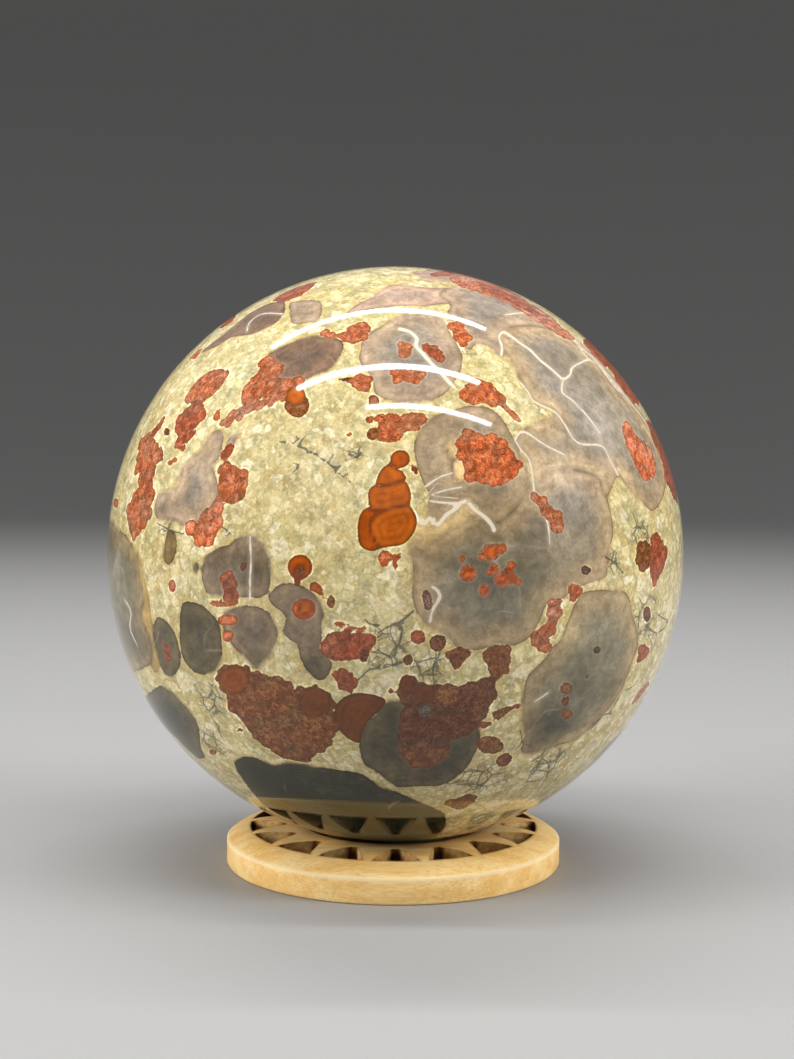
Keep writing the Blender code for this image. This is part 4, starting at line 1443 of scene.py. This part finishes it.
def opening_distance(nodes, x, y, radius):
    """Distance from the nearest opening's outline in millimetres, by folding the ring onto one."""
    pitch = FULL_TURN / OPENING_COUNT
    turn = nodes.minus(nodes.math("ARCTAN2", y, x), FIRST_OPENING_TURN - math.pi / 2.0)
    folded = nodes.math("WRAP", turn, pitch / 2.0, -pitch / 2.0)
    across = nodes.math("ABSOLUTE", nodes.times(radius, nodes.math("SINE", folded)))
    out = nodes.times(radius, nodes.math("COSINE", folded))
    tip_x = OPENING_TIP_HALF_WIDTH * 1000.0
    tip_y = OPENING_TIP_RADIUS * 1000.0
    base = OPENING_BASE_RADIUS * 1000.0
    run_x = base * math.sin(OPENING_HALF_ANGLE) - tip_x
    run_y = base * math.cos(OPENING_HALF_ANGLE) - tip_y
    length = math.hypot(run_x, run_y)
    beside = nodes.minus(nodes.times(nodes.minus(across, tip_x), run_y / length),
                         nodes.times(nodes.minus(out, tip_y), run_x / length))
    edge = nodes.math("MAXIMUM", beside, nodes.minus(radius, base))
    return nodes.math("MAXIMUM", edge, nodes.minus(tip_y, out))


def wood_material():
    """Pale turned wood with a satin finish, scorched brown in and along its openings."""
    wood = Nodes("pale_turned_wood")
    x, y, z = wood.parts("XYZ", wood.place)
    bands = wood.stretched_noise((0.16, 1.0, 1.0), 4.0, scale=0.33)
    fibres = wood.stretched_noise((0.35, 5.0, 5.0), 3.0)
    pores = wood.stretched_noise((0.7, 6.5, 6.5), 1.0, 0.5)
    colour = wood.mix(wood.step(bands, 0.36, 0.64), WOOD_PALE, WOOD_DEEP)
    colour = wood.mottled(colour, fibres, 0.3, 0.7, 0.88, 1.08)
    colour = wood.mix(wood.step(pores, 0.64, 0.72, 0.0, 0.5), colour, WOOD_PORE)

    # Painted highlight: paler along the edge between the top and the side, where the rounded edge catches
    # the light
    radius = wood.math("SQRT", wood.math("ADD", wood.times(x, x), wood.times(y, y)))
    section = wood.add("CombineXYZ", (radius, 0.0, z))
    side_top = (RING_RADIUS * 1000.0, 0.0, SIDE_TOP_HEIGHT * 1000.0)
    arris_distance = wood.vector("DISTANCE", section, side_top)
    colour = wood.mix(wood.fall(arris_distance, 0.1, 0.6, 0.55), colour, WOOD_PAINTED_HIGHLIGHT)

    # Singed along the openings and charred down their walls
    edge = opening_distance(wood, x, y, radius)
    patchy = wood.noise(wood.place, 1.1, 3.0, 0.6)
    singe = wood.times(wood.fall(edge, 0.05, 0.5, 0.75), wood.step(patchy, 0.3, 0.7, 0.4, 1.0))
    colour = wood.mix(singe, colour, SINGED)
    streaks = wood.stretched_noise((3.5, 3.5, 0.3), 3.0)
    wall = wood.mix(wood.step(streaks, 0.35, 0.68), CHARRED, CHAR_BROWN)
    wall = wood.mix(wood.step(z, 4.4, 5.2, 0.0, 0.5), wall, SINGED)
    colour = wood.mix(wood.fall(edge, 0.02, 0.09), colour, wall)
    wood.feed(wood.shader.inputs["Base Color"], colour)
    satin = wood.step(fibres, 0.3, 0.7, 0.36, 0.48)
    roughness = wood.math("MAXIMUM", satin, wood.fall(edge, 0.02, 0.09, 0.9))
    wood.feed(wood.shader.inputs["Roughness"], roughness)

    # Fine turning lines and open grain
    lines = wood.noise(wood.vector("MULTIPLY", section, (5.0, 1.0, 5.0)), 1.0, 2.0, 0.5)
    height = wood.math("ADD", wood.times(lines, 0.5), wood.times(fibres, 0.5))
    bump = wood.tree.nodes.new("ShaderNodeBump")
    bump.inputs["Strength"].default_value = 0.25
    bump.inputs["Distance"].default_value = 0.00006
    wood.feed(bump.inputs["Height"], height)
    wood.feed(wood.shader.inputs["Normal"], bump.outputs[0])
    return wood.material


def dome_profile():
    """Points of the domed top, level where it starts and steepest at the ring's outer edge."""
    reach = RING_RADIUS - DOME_START_RADIUS
    drop = RING_HEIGHT - SIDE_TOP_HEIGHT
    points = []
    for step in range(DOME_POINTS + 1):
        turn = DOME_END_TURN * step / DOME_POINTS
        outward = math.sin(turn) / math.sin(DOME_END_TURN)
        downward = (1.0 - math.cos(turn)) / (1.0 - math.cos(DOME_END_TURN))
        points.append((DOME_START_RADIUS + reach * outward, RING_HEIGHT - drop * downward))
    return points


def ring_profile():
    """Closed outline of the ring's section as (radius, height), down the outside first."""
    foot_bow = FOOT_BOW_SHARE * FOOT_ROUNDING
    return [
        (SEAT_RADIUS, RING_HEIGHT),
        (OPENING_TIP_RADIUS - TIP_CLEARANCE, RING_HEIGHT),
        *dome_profile(),
        (RING_RADIUS, FOOT_ROUNDING),
        (RING_RADIUS - foot_bow, foot_bow),
        (RING_RADIUS - FOOT_ROUNDING, 0.0),
        (SEAT_RADIUS, 0.0),
        (HOLE_RADIUS, HOLE_EDGE_BREAK),
        (HOLE_RADIUS, RING_HEIGHT - HOLE_EDGE_BREAK),
    ]


def opening_outline():
    """Outline of one opening as (x, y), its point towards the middle and its base on a circle."""
    base_x = OPENING_BASE_RADIUS * math.sin(OPENING_HALF_ANGLE)
    base_y = OPENING_BASE_RADIUS * math.cos(OPENING_HALF_ANGLE)
    run_x = OPENING_TIP_HALF_WIDTH - base_x
    run_y = OPENING_TIP_RADIUS - base_y
    length = math.hypot(run_x, run_y)
    side = []
    for step in range(1, OPENING_SIDE_POINTS + 1):
        share = step / (OPENING_SIDE_POINTS + 1)
        bulge = OPENING_SIDE_BULGE * math.sin(math.pi * share)
        side.append((base_x + run_x * share - run_y / length * bulge,
                     base_y + run_y * share + run_x / length * bulge))
    base = []
    for step in range(OPENING_BASE_POINTS + 1):
        turn = OPENING_HALF_ANGLE * (2.0 * step / OPENING_BASE_POINTS - 1.0)
        base.append((OPENING_BASE_RADIUS * math.sin(turn), OPENING_BASE_RADIUS * math.cos(turn)))
    right_side = side + [(OPENING_TIP_HALF_WIDTH, OPENING_TIP_RADIUS)]
    return base + right_side + [(-x, y) for x, y in reversed(right_side)]


def make_cutters():
    """All openings as one mesh of upright prisms."""
    shape = bmesh.new()
    outline = opening_outline()
    for index in range(OPENING_COUNT):
        turn = math.pi + FIRST_OPENING_TURN + index * FULL_TURN / OPENING_COUNT
        sine = math.sin(turn)
        cosine = math.cos(turn)
        rim = [shape.verts.new((x * cosine - y * sine, x * sine + y * cosine, -CUTTER_OVERSHOOT))
               for x, y in outline]
        raised = bmesh.ops.extrude_face_region(shape, geom=[shape.faces.new(rim)])
        top = [item for item in raised["geom"] if isinstance(item, bmesh.types.BMVert)]
        bmesh.ops.translate(shape, verts=top, vec=(0.0, 0.0, RING_HEIGHT + 2.0 * CUTTER_OVERSHOOT))
    bmesh.ops.recalc_face_normals(shape, faces=shape.faces)
    mesh = bpy.data.meshes.new("opening_cutters")
    shape.to_mesh(mesh)
    shape.free()
    return link_mesh("opening_cutters", mesh)


def make_ring():
    """The stand: a turned ring with its row of openings cut through and its edges eased."""
    mesh = turned_mesh("ring_turned", ring_profile(), RING_STEPS, True)
    shape = bmesh.new()
    shape.from_mesh(mesh)
    bmesh.ops.recalc_face_normals(shape, faces=shape.faces)
    shape.to_mesh(mesh)
    shape.free()
    ring = link_mesh("ring_turned", mesh)
    cutters = make_cutters()
    cut = ring.modifiers.new("openings", "BOOLEAN")
    cut.operation = "DIFFERENCE"
    cut.solver = "EXACT"
    cut.object = cutters
    ease = ring.modifiers.new("eased_edges", "BEVEL")
    ease.width = EDGE_BREAK
    ease.segments = 2
    ease.limit_method = "ANGLE"
    ease.angle_limit = EASED_ANGLE
    ease.harden_normals = False
    evaluated = ring.evaluated_get(bpy.context.evaluated_depsgraph_get())
    finished = bpy.data.meshes.new_from_object(evaluated)
    ring.modifiers.clear()
    ring.data = finished
    bpy.data.objects.remove(cutters, do_unlink=True)
    ring.data.shade_smooth()
    ring.data.set_sharp_from_angle(angle=SHARP_ANGLE)
    return ring


def make_floor():
    """A pale floor that rises gently all round, far behind the object."""
    profile = [(radius, 0.0) for radius in FLOOR_FLAT_RADII]
    for step in range(1, FLOOR_BEND_POINTS + 1):
        turn = FLOOR_BEND_TURN * step / FLOOR_BEND_POINTS
        profile.append((FLOOR_FLAT_RADII[-1] + FLOOR_BEND_RADIUS * math.sin(turn),
                        FLOOR_BEND_RADIUS - FLOOR_BEND_RADIUS * math.cos(turn)))
    mesh = turned_mesh("floor", profile, FLOOR_STEPS, False)
    mesh.shade_smooth()
    floor = link_mesh("floor", mesh)
    material = bpy.data.materials.new("pale_floor")
    material.use_nodes = True
    shader = material.node_tree.nodes["Principled BSDF"]
    shader.inputs["Base Color"].default_value = (*FLOOR_COLOUR, 1.0)
    shader.inputs["Roughness"].default_value = 0.6
    floor.data.materials.append(material)


def area_light(name, place, target, size, watts):
    """A rectangular lamp that faces a point."""
    data = bpy.data.lights.new(name, "AREA")
    data.shape = "RECTANGLE"
    data.size, data.size_y = size
    data.energy = watts
    lamp = bpy.data.objects.new(name, data)
    bpy.context.scene.collection.objects.link(lamp)
    lamp.location = place
    direction = Vector(target) - Vector(place)
    lamp.rotation_euler = direction.to_track_quat("-Z", "Y").to_euler()
    return lamp


def make_lights():
    """Narrow overhead strips that give the highlight arcs, and soft light from both sides."""
    for name, (place, length, watts) in STRIP_LAMPS.items():
        area_light(name, place, (place[0], place[1], 0.0), (length, STRIP_WIDTH), watts)
    for name, (place, watts) in SOFT_LAMPS.items():
        lamp = area_light(name, place, SOFT_TARGET, SOFT_SIZE, watts)
        lamp.data.spread = SOFT_SPREAD
        lamp.visible_glossy = False
    world = bpy.data.worlds.new("studio")
    world.use_nodes = True
    background = world.node_tree.nodes["Background"]
    background.inputs["Color"].default_value = (1.0, 1.0, 1.0, 1.0)
    background.inputs["Strength"].default_value = WORLD_STRENGTH
    bpy.context.scene.world = world


make_camera()
ball, ball_directions = make_ball()
mark_ball(ball.data, ball_directions)
ball.data.materials.append(jasper_material())
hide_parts("jasper_sphere")
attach(ball, "root")

ring = make_ring()
ring.data.materials.clear()
ring.data.materials.append(wood_material())
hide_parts("ring_stand")
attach(ring, "root")

make_floor()
make_lights()
bpy.context.scene.view_settings.view_transform = "Standard"
